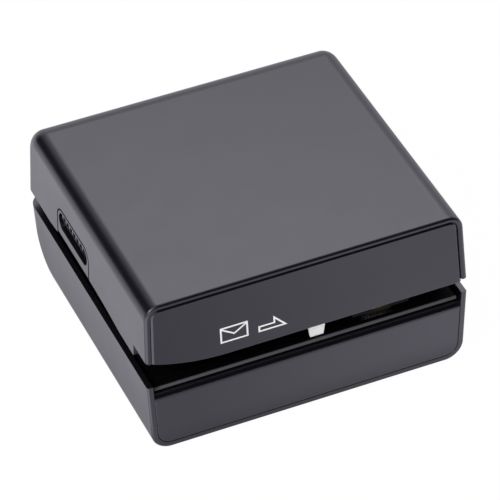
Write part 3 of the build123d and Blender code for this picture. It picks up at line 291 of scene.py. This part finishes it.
@dataclass(frozen=True)
class Moulding(Finish):
    """Injection moulded plastic: spark-eroded grain, faint flow marks, polished edges, a little dust."""

    texture: Texture = Texture.FINE
    edge: float = 0.25 * MM
    worn: Colour = (0.05, 0.05, 0.053)
    wear: float = 0.25
    tint: Colour = (1.0, 1.0, 1.0)
    gleam: float = 0.5
    shade: float = 0.86
    flow_size: float = 21 * MM
    flow_stretch: tuple[float, float, float] = (0.5, 1.0, 1.0)
    speck_size: float = 1.1 * MM
    blotch_size: float = 14 * MM
    blotch: float = 0.03
    grain_blotch: float = 0.06
    edge_polish: float = 0.08
    grain_size: float = 0.16 * MM
    grain_depth: float = 0.001 * MM
    refraction: float = 1.5

    def draw(self, graph: Graph) -> None:
        """Fill the material's node tree."""
        normal, edge = graph.edges(self.edge)
        flow = graph.noise(self.flow_size, 3.0, Vector(self.flow_stretch))
        speck = graph.noise(self.speck_size, 4.0)
        shade = tuple(value * self.shade for value in self.colour)
        # the body colour, with any painted highlight that a subclass adds
        body = self.wear_and_painted_highlight(graph, graph.blend(graph.spread(flow, 0.0, 1.0), shade, self.colour))
        rub = graph.math("MULTIPLY", edge, graph.spread(speck, 0.0, self.wear, (0.4, 0.7)))
        graph.join(graph.blend(rub, body, self.worn), graph.shader.inputs["Base Color"])
        spread = self.blotch + self.grain_blotch * self.texture.value
        low, high = self.roughness * (1 - spread), self.roughness * (1 + spread)
        blotch = graph.spread(graph.noise(self.blotch_size, 3.0), low, high)
        polish = graph.math("MULTIPLY", edge, self.edge_polish)
        graph.join(graph.math("SUBTRACT", blotch, polish), graph.shader.inputs["Roughness"])
        grain = graph.noise(self.grain_size, 2.0)
        depth = self.grain_depth * self.texture.value
        graph.join(graph.bump(grain, depth, normal), graph.shader.inputs["Normal"])
        graph.shader.inputs["IOR"].default_value = self.refraction
        graph.shader.inputs["Specular IOR Level"].default_value = self.gleam
        graph.shader.inputs["Specular Tint"].default_value = (*self.tint, 1.0)

    def wear_and_painted_highlight(self, graph: Graph, body: bpy.types.NodeSocket) -> bpy.types.NodeSocket:
        """Give the plastic's colour; a plain moulding paints no highlight on it."""
        return body


@dataclass(frozen=True)
class NoseMoulding(Moulding):
    """A moulding whose front lip is painted pale: a painted highlight along the lip."""

    lip: float = 0.0
    fade: float = 0.5 * MM
    # colour of the painted highlight on the lip
    pale: Colour = (0.07, 0.069, 0.076)

    def wear_and_painted_highlight(self, graph: Graph, body: bpy.types.NodeSocket) -> bpy.types.NodeSocket:
        """Give the plastic's colour with the painted highlight along the lip."""
        split = graph.add("ShaderNodeSeparateXYZ")
        graph.join(graph.place(), split.inputs["Vector"])
        # painted highlight: in front of the lip line the colour turns pale
        front = graph.spread(split.outputs["Y"], 1.0, 0.0, (self.lip, self.lip + self.fade))
        return graph.blend(front, body, self.pale)


@dataclass(frozen=True)
class Metal(Finish):
    """Bare or plated metal with drawing or rolling marks, stains and bright edges."""

    lay: Axis = Axis.NONE
    stain: Colour = (0.32, 0.3, 0.28)
    stained: float = 0.25
    mark_depth: float = 0.006 * MM
    edge: float = 0.12 * MM
    mark_size: float = 0.35 * MM
    stain_size: float = 4.5 * MM
    edge_gain: float = 1.25
    brightest: float = 0.95
    edge_share: float = 0.6
    stain_dulls: float = 0.3

    def draw(self, graph: Graph) -> None:
        """Fill the material's node tree."""
        normal, edge = graph.edges(self.edge)
        marks = graph.noise(self.mark_size, 3.0, Vector(self.lay.value))
        blot = graph.noise(self.stain_size, 5.0)
        dull = graph.spread(blot, 0.0, self.stained, (0.45, 0.72))
        base = graph.blend(dull, self.colour, self.stain)
        bright = tuple(min(value * self.edge_gain, self.brightest) for value in self.colour)
        rub = graph.math("MULTIPLY", edge, self.edge_share)
        graph.join(graph.blend(rub, base, bright), graph.shader.inputs["Base Color"])
        rough = graph.spread(marks, self.roughness * 0.75, self.roughness * 1.3)
        dulled = graph.math("ADD", rough, graph.math("MULTIPLY", dull, self.stain_dulls))
        graph.join(dulled, graph.shader.inputs["Roughness"])
        graph.join(graph.bump(marks, self.mark_depth, normal), graph.shader.inputs["Normal"])
        graph.shader.inputs["Metallic"].default_value = 1.0


@dataclass(frozen=True)
class Knurled(Metal):
    """Blackened metal with bright brass spots on its tooth crests: worn brass showing through, painted in as
    glints.
    """

    worn_glint_brass: Colour = (0.95, 0.82, 0.5)
    crest_width: float = 0.5 * MM
    spot_size: float = 0.9 * MM
    polish: float = 0.2

    def draw(self, graph: Graph) -> None:
        """Fill the material's node tree."""
        normal, edge = graph.edges(self.crest_width)
        # painted glints: bright brass spots on the crests, partly worn brass showing through
        spot = graph.spread(graph.noise(self.spot_size, 2.0), 0.0, 1.0, (0.46, 0.52))
        bright = graph.math("MULTIPLY", edge, spot)
        graph.join(graph.blend(bright, self.colour, self.worn_glint_brass), graph.shader.inputs["Base Color"])
        rough = graph.spread(bright, self.roughness, self.polish, (0.0, 1.0))
        graph.join(rough, graph.shader.inputs["Roughness"])
        graph.join(normal, graph.shader.inputs["Normal"])
        graph.shader.inputs["Metallic"].default_value = 1.0


@dataclass(frozen=True)
class Sintered(Finish):
    """Porous bearing bronze, dark with oil in its pores."""

    pore_size: float = 0.28 * MM
    pore_depth: float = 0.02 * MM
    oiled: float = 0.35

    def draw(self, graph: Graph) -> None:
        """Fill the material's node tree."""
        pores = graph.add("ShaderNodeTexVoronoi")
        pores.inputs["Scale"].default_value = 1.0 / self.pore_size
        graph.join(graph.place(), pores.inputs["Vector"])
        pit = graph.spread(pores.outputs["Distance"], 1.0, 0.0, (0.05, 0.4))
        oily = tuple(value * self.oiled for value in self.colour)
        graph.join(graph.blend(pit, self.colour, oily), graph.shader.inputs["Base Color"])
        rough = graph.spread(pit, self.roughness, self.roughness * 1.5, (0.0, 1.0))
        graph.join(rough, graph.shader.inputs["Roughness"])
        graph.join(graph.bump(pores.outputs["Distance"], self.pore_depth), graph.shader.inputs["Normal"])
        graph.shader.inputs["Metallic"].default_value = 0.9


@dataclass(frozen=True)
class Rubber(Finish):
    """Black moulded rubber with talc in its pores."""

    talc: Colour = (0.16, 0.155, 0.15)
    edge: float = 0.3 * MM
    talc_size: float = 2.2 * MM
    smooth_size: float = 1.0 * MM
    pore_size: float = 0.3 * MM
    pore_depth: float = 0.02 * MM

    def draw(self, graph: Graph) -> None:
        """Fill the material's node tree."""
        normal, edge = graph.edges(self.edge)
        dust = graph.spread(graph.noise(self.talc_size, 6.0), 0.0, 0.5, (0.5, 0.75))
        wear_and_painted_highlight = graph.math("MAXIMUM", dust, graph.math("MULTIPLY", edge, 0.3))
        graph.join(graph.blend(wear_and_painted_highlight, self.colour, self.talc), graph.shader.inputs["Base Color"])
        low, high = self.roughness * 0.9, self.roughness * 1.1
        smooth = graph.spread(graph.noise(self.smooth_size, 3.0), low, high)
        graph.join(smooth, graph.shader.inputs["Roughness"])
        pores = graph.noise(self.pore_size, 3.0)
        graph.join(graph.bump(pores, self.pore_depth, normal), graph.shader.inputs["Normal"])


@dataclass(frozen=True)
class Acetal(Finish):
    """Natural gear plastic: waxy, faintly see-through, with grease smears."""

    grease: Colour = (0.5, 0.44, 0.3)
    edge: float = 0.12 * MM
    smear_size: float = 3.5 * MM
    wave_size: float = 0.8 * MM
    wave_depth: float = 0.008 * MM
    glow_share: float = 0.12
    glow_reach: Colour = (0.8, 0.7, 0.55)
    glow_depth: float = 0.6 * MM

    def draw(self, graph: Graph) -> None:
        """Fill the material's node tree."""
        normal, edge = graph.edges(self.edge)
        smear = graph.spread(graph.noise(self.smear_size, 4.0), 0.0, 0.35, (0.5, 0.7))
        base = graph.blend(smear, self.colour, self.grease)
        pale = tuple(min(value * 1.06, 0.9) for value in self.colour)
        rub = graph.math("MULTIPLY", edge, 0.5)
        graph.join(graph.blend(rub, base, pale), graph.shader.inputs["Base Color"])
        rough = graph.spread(smear, self.roughness, self.roughness * 0.6, (0.0, 0.35))
        graph.join(rough, graph.shader.inputs["Roughness"])
        wave = graph.noise(self.wave_size, 3.0)
        graph.join(graph.bump(wave, self.wave_depth, normal), graph.shader.inputs["Normal"])
        graph.shader.inputs["Subsurface Weight"].default_value = self.glow_share
        graph.shader.inputs["Subsurface Radius"].default_value = self.glow_reach
        graph.shader.inputs["Subsurface Scale"].default_value = self.glow_depth


@dataclass(frozen=True)
class CellSleeve(Finish):
    """Shrink sleeve of a dry cell: a long dark band, a warm band by the button, bare steel ends."""

    start: float = 0.0
    end: float = 0.0
    band: Colour = (0.55, 0.25, 0.07)
    steel: Colour = (0.62, 0.61, 0.58)
    band_share: float = 0.2
    rim: float = 0.6 * MM
    edge: float = 0.2 * MM
    fleck_size: float = 0.5 * MM
    smudge_size: float = 5 * MM
    crease_size: float = 1.4 * MM
    crease_depth: float = 0.012 * MM

    def draw(self, graph: Graph) -> None:
        """Fill the material's node tree."""
        normal, edge = graph.edges(self.edge)
        split = graph.add("ShaderNodeSeparateXYZ")
        graph.join(graph.place(), split.inputs["Vector"])
        along = graph.spread(split.outputs["Y"], 0.0, 1.0, (self.start, self.end))
        warm = graph.math("GREATER_THAN", along, 1.0 - self.band_share)
        sleeve = graph.blend(warm, self.colour, self.band)
        rim = self.rim / abs(self.end - self.start)
        far, near = graph.math("GREATER_THAN", along, 1.0 - rim), graph.math("LESS_THAN", along, rim)
        bare = graph.math("MAXIMUM", far, near)
        fleck = graph.spread(graph.noise(self.fleck_size, 2.0), 0.9, 1.0)
        shaded = graph.blend(fleck, tuple(v * 0.8 for v in self.colour), sleeve)
        graph.join(graph.blend(bare, shaded, self.steel), graph.shader.inputs["Base Color"])
        graph.join(bare, graph.shader.inputs["Metallic"])
        low, high = self.roughness * 0.8, self.roughness * 1.4
        smudge = graph.spread(graph.noise(self.smudge_size, 4.0), low, high)
        rough = graph.math("ADD", smudge, graph.math("MULTIPLY", edge, 0.05))
        graph.join(rough, graph.shader.inputs["Roughness"])
        crease = graph.noise(self.crease_size, 2.0)
        graph.join(graph.bump(crease, self.crease_depth, normal), graph.shader.inputs["Normal"])


COOL: Colour = (0.93, 0.91, 1.0)
CASE = Moulding("case_black", (0.003, 0.0028, 0.0042), 0.3, Texture.FINE, tint=COOL)
PANEL = Moulding("panel_black", (0.003, 0.0029, 0.0042), 0.24, Texture.POLISHED, tint=COOL)
# chassis and guide: nearly black and almost without gleam, darker than the case plastic, as painted shade
# inside the slot
CHASSIS = NoseMoulding("frame_black", (0.002, 0.002, 0.0026), 0.45, Texture.COARSE, worn=(0.012, 0.012, 0.013),
                       gleam=0.04, lip=-60.2 * MM)
GUIDE = Moulding("guide_black", (0.002, 0.002, 0.0026), 0.45, Texture.COARSE, worn=(0.012, 0.012, 0.013),
                 gleam=0.04)
HOLDER = Moulding("holder_black", (0.014, 0.014, 0.016), 0.5, Texture.COARSE, wear=0.15)
SIGN = Moulding("sign_white", (0.9, 0.9, 0.91), 0.45, Texture.POLISHED, worn=(0.7, 0.7, 0.7), wear=0.1)
LEVER = Moulding("lever_white", (0.94, 0.94, 0.93), 0.35, Texture.FINE, worn=(0.92, 0.92, 0.92), wear=0.3)
SWITCH = Moulding("switch_black", (0.018, 0.018, 0.019), 0.55, Texture.COARSE, wear=0.2)
PLUNGER = Moulding("switch_red", (0.5, 0.035, 0.02), 0.35, Texture.FINE, worn=(0.7, 0.2, 0.15))
END_CAP = Moulding("cap_black", (0.02, 0.02, 0.021), 0.5, Texture.COARSE, wear=0.2)
GEARS = Acetal("gear_acetal", (0.78, 0.76, 0.69), 0.42)
TYRE = Rubber("tyre_rubber", (0.025, 0.025, 0.026), 0.75)
FEET = Rubber("foot_rubber", (0.04, 0.04, 0.042), 0.8)
TURNED_STEEL = Metal("turned_steel", (0.62, 0.62, 0.62), 0.2, Axis.Y, stained=0.15)
HINGE_STEEL = Metal("hinge_steel", (0.6, 0.6, 0.6), 0.22, Axis.X, stained=0.1)
ROLLED_STEEL = Metal("rolled_steel", (0.56, 0.56, 0.56), 0.32, Axis.X, stained=0.2)
CAN_STEEL = Metal("can_steel", (0.5, 0.5, 0.49), 0.3, Axis.Y, stained=0.3)
CUTTER_STEEL = Metal("cutter_steel", (0.46, 0.46, 0.47), 0.26, Axis.NONE, stained=0.2)
SPRING_WIRE = Metal("spring_wire", (0.45, 0.44, 0.43), 0.24, Axis.NONE, stained=0.3)
BRASS = Metal("knurled_brass", (0.72, 0.52, 0.25), 0.24, Axis.Y, stain=(0.3, 0.2, 0.09), stained=0.4)
TAB_BRASS = Metal("tab_brass", (0.7, 0.53, 0.28), 0.3, Axis.Y, stain=(0.35, 0.25, 0.12), stained=0.3)
# pressure wheel: blackened brass with painted glints on its crests
BLACKENED = Knurled("blackened_brass", (0.015, 0.012, 0.008), 0.5)
BRONZE = Sintered("sintered_bronze", (0.55, 0.36, 0.18), 0.38)
ZINC = Metal("zinc_plate", (0.66, 0.67, 0.68), 0.3, Axis.NONE, stain=(0.45, 0.45, 0.42), stained=0.4)
NICKEL = Metal("nickel_plate", (0.68, 0.66, 0.61), 0.18, Axis.Z, stained=0.15)


# ---------------------------------------------------------------- sub-assemblies
@dataclass
class SubAssembly:
    """A group of CAD nodes that are dressed together."""

    name: str

    def finishes(self) -> dict[str, Finish]:
        """Give the finish of each of the group's nodes."""
        raise NotImplementedError

    def squeeze(self) -> None:
        """Give the group's springs meshes of their own, where it has any."""

    def build(self) -> list[str]:
        """Dress the nodes and set up their springs.

        Returns:
            The names of the nodes that were dressed.
        """
        dressed = self.finishes()
        for node, finish in dressed.items():
            finish.put_on(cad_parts[node])
        self.squeeze()
        LOG.info("%s: dressed %s", self.name, ", ".join(dressed))
        return list(dressed)


@dataclass
class Housing(SubAssembly):
    """The two shells with their front panels, signs and feet."""

    name: str = "housing"

    def finishes(self) -> dict[str, Finish]:
        """Give the finish of each of the group's nodes."""
        shells = {"cover_shell": CASE, "base_shell": CASE, "battery_door": CASE, "latch_button": CASE}
        panels = {"cover_front_panel": PANEL, "base_front_panel": PANEL}
        signs = {"envelope_sign": SIGN, "arrow_sign": SIGN}
        feet = {f"foot_{index}": FEET for index in range(1, 5)}
        return shells | panels | signs | feet


@dataclass
class Slot(SubAssembly):
    """The letter's slot: chassis, guide plate, start lever and its switch."""

    name: str = "slot"

    def finishes(self) -> dict[str, Finish]:
        """Give the finish of each of the group's nodes."""
        return {
            "slot_chassis": CHASSIS,
            "guide_plate": GUIDE,
            "start_lever": LEVER,
            "lever_pin": TURNED_STEEL,
            "lever_spring": SPRING_WIRE,
            "switch_body": SWITCH,
            "switch_plunger": PLUNGER,
        }


@dataclass
class Drive(SubAssembly):
    """Feed wheels, cutter, gears and motor."""

    name: str = "drive"
    lift: float = math.radians(8)

    def squeeze(self) -> None:
        """Give the pressure arm's spring a mesh of its own."""
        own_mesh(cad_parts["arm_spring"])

    def finishes(self) -> dict[str, Finish]:
        """Give the finish of each of the group's nodes."""
        return {
            "pressure_arm": ROLLED_STEEL,
            "arm_pin": TURNED_STEEL,
            "arm_spring": SPRING_WIRE,
            "pressure_wheel": BLACKENED,
            "pressure_wheel_pin": TURNED_STEEL,
            "feed_shaft": TURNED_STEEL,
            "feed_hub": GEARS,
            "feed_tyre": TYRE,
            "feed_gear": GEARS,
            "feed_bush_front": BRONZE,
            "feed_bush_rear": BRONZE,
            "compound_gear": GEARS,
            "compound_pin": TURNED_STEEL,
            "motor_can": CAN_STEEL,
            "motor_cap": END_CAP,
            "motor_terminals": TAB_BRASS,
            "motor_shaft": TURNED_STEEL,
            "motor_pinion": BRASS,
            "cutter": CUTTER_STEEL,
            "gear_plate": ROLLED_STEEL,
        }


@dataclass
class Fastenings(SubAssembly):
    """Screws, hinge pins and the latch's springs."""

    name: str = "fastenings"
    push: float = 2.0 * MM

    def squeeze(self) -> None:
        """Give the latch button's spring a mesh of its own."""
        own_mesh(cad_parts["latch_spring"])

    def finishes(self) -> dict[str, Finish]:
        """Give the finish of each of the group's nodes."""
        screws = {f"{place}_screws": ZINC for place in ("case", "guide", "gearbox", "motor")}
        pins = {"hinge_pin_1": HINGE_STEEL, "hinge_pin_2": HINGE_STEEL}
        return screws | pins | {"latch_spring": SPRING_WIRE, "latch_clip": SPRING_WIRE}


@dataclass
class Battery(SubAssembly):
    """Holder, contacts and four cells."""

    name: str = "battery"
    nub: float = 1.0 * MM
    backward: tuple[str, ...] = ("cell_1", "cell_3")
    forward: tuple[str, ...] = ("cell_2", "cell_4")

    def finishes(self) -> dict[str, Finish]:
        """Give the finish of each of the group's nodes."""
        dressed: dict[str, Finish] = {
            "battery_holder": HOLDER,
            "contact_springs": NICKEL,
            "contact_plates": NICKEL,
        }
        for cell in self.backward + self.forward:
            dressed[cell] = self.sleeve(cell)
        return dressed

    def sleeve(self, cell: str) -> CellSleeve:
        """Give the sleeve of one cell, whose bands follow the cell's own ends.

        Args:
            cell: Name of the cell's node.

        Returns:
            The sleeve's finish.
        """
        low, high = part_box(cell)
        start, end = low.y, high.y - self.nub
        if cell in self.forward:
            start, end = high.y, low.y + self.nub
        return CellSleeve(f"sleeve_{cell}", (0.02, 0.024, 0.035), 0.28, start=start, end=end)


# ---------------------------------------------------------------- studio and camera
@dataclass
class Camera:
    """The photograph's camera, from the fit to the object's edges."""

    place: Vector = field(default_factory=lambda: Vector((-0.4060, -1.0186, 0.9408)))
    azimuth: float = math.radians(-21.728)
    elevation: float = math.radians(39.533)
    roll: float = math.radians(-2.306)
    lens: float = 267.2
    shift: tuple[float, float] = (0.01465, -0.02375)
    sensor: float = 36.0
    clip: tuple[float, float] = (0.01, 50.0)

    def build(self) -> None:
        """Make the camera and turn it as the photograph's was."""
        back = Vector((
            math.sin(self.azimuth) * math.cos(self.elevation),
            -math.cos(self.azimuth) * math.cos(self.elevation),
            math.sin(self.elevation),
        ))
        right = (-back).cross(Vector((0, 0, 1))).normalized()
        up = right.cross(-back)
        rolled_right = math.cos(self.roll) * right + math.sin(self.roll) * up
        rolled_up = -math.sin(self.roll) * right + math.cos(self.roll) * up
        data = bpy.data.cameras.new("camera")
        data.lens = self.lens
        data.sensor_width = self.sensor
        data.shift_x, data.shift_y = self.shift
        data.clip_start, data.clip_end = self.clip
        camera = bpy.data.objects.new("camera", data)
        bpy.context.scene.collection.objects.link(camera)
        turn = Matrix((rolled_right, rolled_up, back)).transposed().to_4x4()
        camera.matrix_world = Matrix.Translation(self.place) @ turn
        bpy.context.scene.camera = camera


@dataclass
class Studio:
    """A white floor, a white tent with two dark gaps, a large soft lamp and a small one.

    In reflections the floor carries painted light and shade: glossy rays see an emission map on it. A band is
    two distances out from a side of the part's box, and a gap is the span of a ray's direction over which the
    tent darkens.
    """

    low: Vector
    high: Vector
    floor_size: float = 12.0
    floor_white: float = 0.985
    floor_paint: Colour = (0.85, 0.85, 0.85)
    world_light: float = 0.75
    tent_white: float = 1.0
    tent_dark: float = 0.0
    cast: Colour = (1.0, 0.98, 1.08)
    # glows and bands: painted light and shade on the floor, seen only in reflections
    front_glow: tuple[float, float] = (1.02, 1.52)
    near_glow: float = 1.2
    corner_glow: float = 3.0
    rise_inset: float = 25 * MM
    near_band: tuple[float, float] = (50 * MM, 30 * MM)
    corner_band: tuple[float, float] = (12 * MM, -6 * MM)
    left_band: tuple[float, float] = (4 * MM, 23 * MM)
    turn_band: tuple[float, float] = (10 * MM, -5 * MM)
    gap_left: tuple[float, float] = (-0.15, -0.45)
    gap_back: tuple[float, float] = (0.1, 0.35)
    gap_ahead: tuple[float, float] = (-0.1, -0.3)
    gap_right: tuple[float, float] = (-0.15, 0.05)
    left_glow: tuple[float, float] = (0.74, 1.2)
    key_power: float = 8.0
    key_size: tuple[float, float] = (1.1, 0.8)
    key_place: Vector = field(default_factory=lambda: Vector((0.52, 0.93, 1.36)))
    spark_power: float = 9.0
    spark_size: tuple[float, float] = (0.45, 0.45)
    spark_place: Vector = field(default_factory=lambda: Vector((-0.8, -0.42, 0.75)))

    def build(self) -> None:
        """Make floor, tent and lamps."""
        self.floor()
        self.tent()
        self.lamp("key", self.key_place, self.key_size, self.key_power)
        self.lamp("spark", self.spark_place, self.spark_size, self.spark_power)
        bpy.context.scene.view_settings.view_transform = "Standard"

    def lamp(self, name: str, place: Vector, size: tuple[float, float], power: float) -> None:
        """Make a rectangular soft lamp that points at the object.

        Args:
            name: The lamp's name.
            place: Where it hangs.
            size: Its width and height.
            power: Its power in watts.
        """
        data = bpy.data.lights.new(name, "AREA")
        data.shape = "RECTANGLE"
        data.size, data.size_y = size
        data.energy = power
        lamp = bpy.data.objects.new(name, data)
        bpy.context.scene.collection.objects.link(lamp)
        lamp.location = place
        lamp.rotation_euler = (-place).to_track_quat("-Z", "Y").to_euler()

    def floor(self) -> None:
        """Make the floor: white to the camera, with a faint shadow, and with painted light and shade in
        reflections.
        """
        mesh = bpy.data.meshes.new("floor")
        half = self.floor_size / 2
        corners = [(-half, -half, 0), (half, -half, 0), (half, half, 0), (-half, half, 0)]
        mesh.from_pydata(corners, [], [(0, 1, 2, 3)])
        floor = bpy.data.objects.new("floor", mesh)
        bpy.context.scene.collection.objects.link(floor)
        material = bpy.data.materials.new("floor_white")
        graph = Graph(material)
        path = graph.add("ShaderNodeLightPath")
        paint = graph.add("ShaderNodeBsdfDiffuse")
        paint.inputs["Color"].default_value = (*self.floor_paint, 1)
        white = graph.add("ShaderNodeEmission")
        lit = self.either(graph, path.outputs["Is Camera Ray"], paint, white, self.floor_white)
        # painted reflection: glossy rays see the floor as an emission sheet with the painted glow map
        painted_reflection_sheet = graph.add("ShaderNodeEmission")
        painted_reflection_sheet.inputs["Color"].default_value = (*self.cast, 1)
        graph.join(self.painted_reflection_glow(graph), painted_reflection_sheet.inputs["Strength"])
        seen = self.either(graph, path.outputs["Is Glossy Ray"], lit, painted_reflection_sheet)
        graph.show(seen.outputs[0], "ShaderNodeOutputMaterial")
        mesh.materials.append(material)
        floor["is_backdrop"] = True

    def painted_reflection_glow(self, graph: Graph) -> bpy.types.NodeSocket:
        """Give the floor's brightness in reflections, which is painted light and shade.

        In front it grows to the right and towards the object: painted light. At the left it fades towards the
        object: painted shade.
        """
        low, high = self.low, self.high
        split = graph.add("ShaderNodeSeparateXYZ")
        graph.join(graph.add("ShaderNodeNewGeometry").outputs["Position"], split.inputs["Vector"])
        across, along = split.outputs["X"], split.outputs["Y"]
        # painted light: in front the floor brightens to the right, towards the object and off the left corner
        rise = graph.spread(across, *self.front_glow, (low.x + self.rise_inset, high.x))
        near = graph.spread(along, 1.0, self.near_glow, self.off(low.y, self.near_band))
        corner = graph.spread(across, self.corner_glow, 1.0, self.off(low.x, self.corner_band))
        front = graph.math("MULTIPLY", graph.math("MULTIPLY", rise, near), corner)
        # painted shade: at the left the floor darkens towards the object
        left = graph.spread(across, *self.left_glow, self.off(low.x, self.left_band))
        beside = graph.spread(along, 0.0, 1.0, self.off(low.y, self.turn_band))
        ahead = graph.spread(beside, 1.0, 0.0, (0.0, 1.0))
        return graph.math("ADD", graph.math("MULTIPLY", beside, left), graph.math("MULTIPLY", ahead, front))

    @staticmethod
    def off(side: float, band: tuple[float, float]) -> tuple[float, float]:
        """Give the places that lie a band's two distances outside a side."""
        return side - band[0], side - band[1]

    @staticmethod
    def either(graph: Graph, fac: bpy.types.NodeSocket, no: bpy.types.Node, yes: bpy.types.Node,
               full: float = 1.0) -> bpy.types.Node:
        """Mix two shaders by a share.

        Args:
            graph: The tree to add to.
            fac: Share of the second shader.
            no: The first shader.
            yes: The second shader.
            full: What a share of 1 stands for.

        Returns:
            The mixed shader's node.
        """
        mix = graph.add("ShaderNodeMixShader")
        graph.join(graph.math("MULTIPLY", fac, full), mix.inputs["Fac"])
        graph.join(no.outputs[0], mix.inputs[1])
        graph.join(yes.outputs[0], mix.inputs[2])
        return mix

    def tent(self) -> None:
        """Make the world: white to the camera, a tent with two dark gaps in reflections, grey light else."""
        world = bpy.data.worlds.new("tent")
        bpy.context.scene.world = world
        graph = Graph(world)
        path = graph.add("ShaderNodeLightPath")
        light = graph.add("ShaderNodeBackground")
        light.inputs["Strength"].default_value = self.world_light
        glossy = graph.add("ShaderNodeBackground")
        glossy.inputs["Color"].default_value = (*self.cast, 1)
        white = graph.add("ShaderNodeBackground")
        split = graph.add("ShaderNodeSeparateXYZ")
        graph.join(graph.add("ShaderNodeTexCoord").outputs["Generated"], split.inputs[0])
        left = graph.spread(split.outputs["X"], 0.0, 1.0, self.gap_left)
        back = graph.spread(split.outputs["Y"], 0.0, 1.0, self.gap_back)
        ahead = graph.spread(split.outputs["Y"], 0.0, 1.0, self.gap_ahead)
        right = graph.spread(split.outputs["X"], 0.0, 1.0, self.gap_right)
        behind_left = graph.math("MULTIPLY", left, back)
        gap = graph.math("MAXIMUM", behind_left, graph.math("MULTIPLY", ahead, right))
        graph.join(graph.spread(gap, self.tent_white, self.tent_dark, (0.0, 1.0)), glossy.inputs["Strength"])
        lit = self.either(graph, path.outputs["Is Glossy Ray"], light, glossy)
        seen = self.either(graph, path.outputs["Is Camera Ray"], lit, white)
        graph.show(seen.outputs[0], "ShaderNodeOutputWorld")


def main() -> None:
    """Dress and build every sub-assembly, then the studio and the camera."""
    logging.basicConfig(level=logging.INFO, format="%(name)s: %(message)s")
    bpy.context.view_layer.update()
    dressed: list[str] = []
    for assembly in (Housing(), Slot(), Drive(), Fastenings(), Battery()):
        dressed += assembly.build()
    for node in sorted(set(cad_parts) - set(dressed)):
        LOG.warning("no finish for %s", node)
    Studio(*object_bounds()).build()
    Camera().build()


if __name__ == "__main__":
    main()
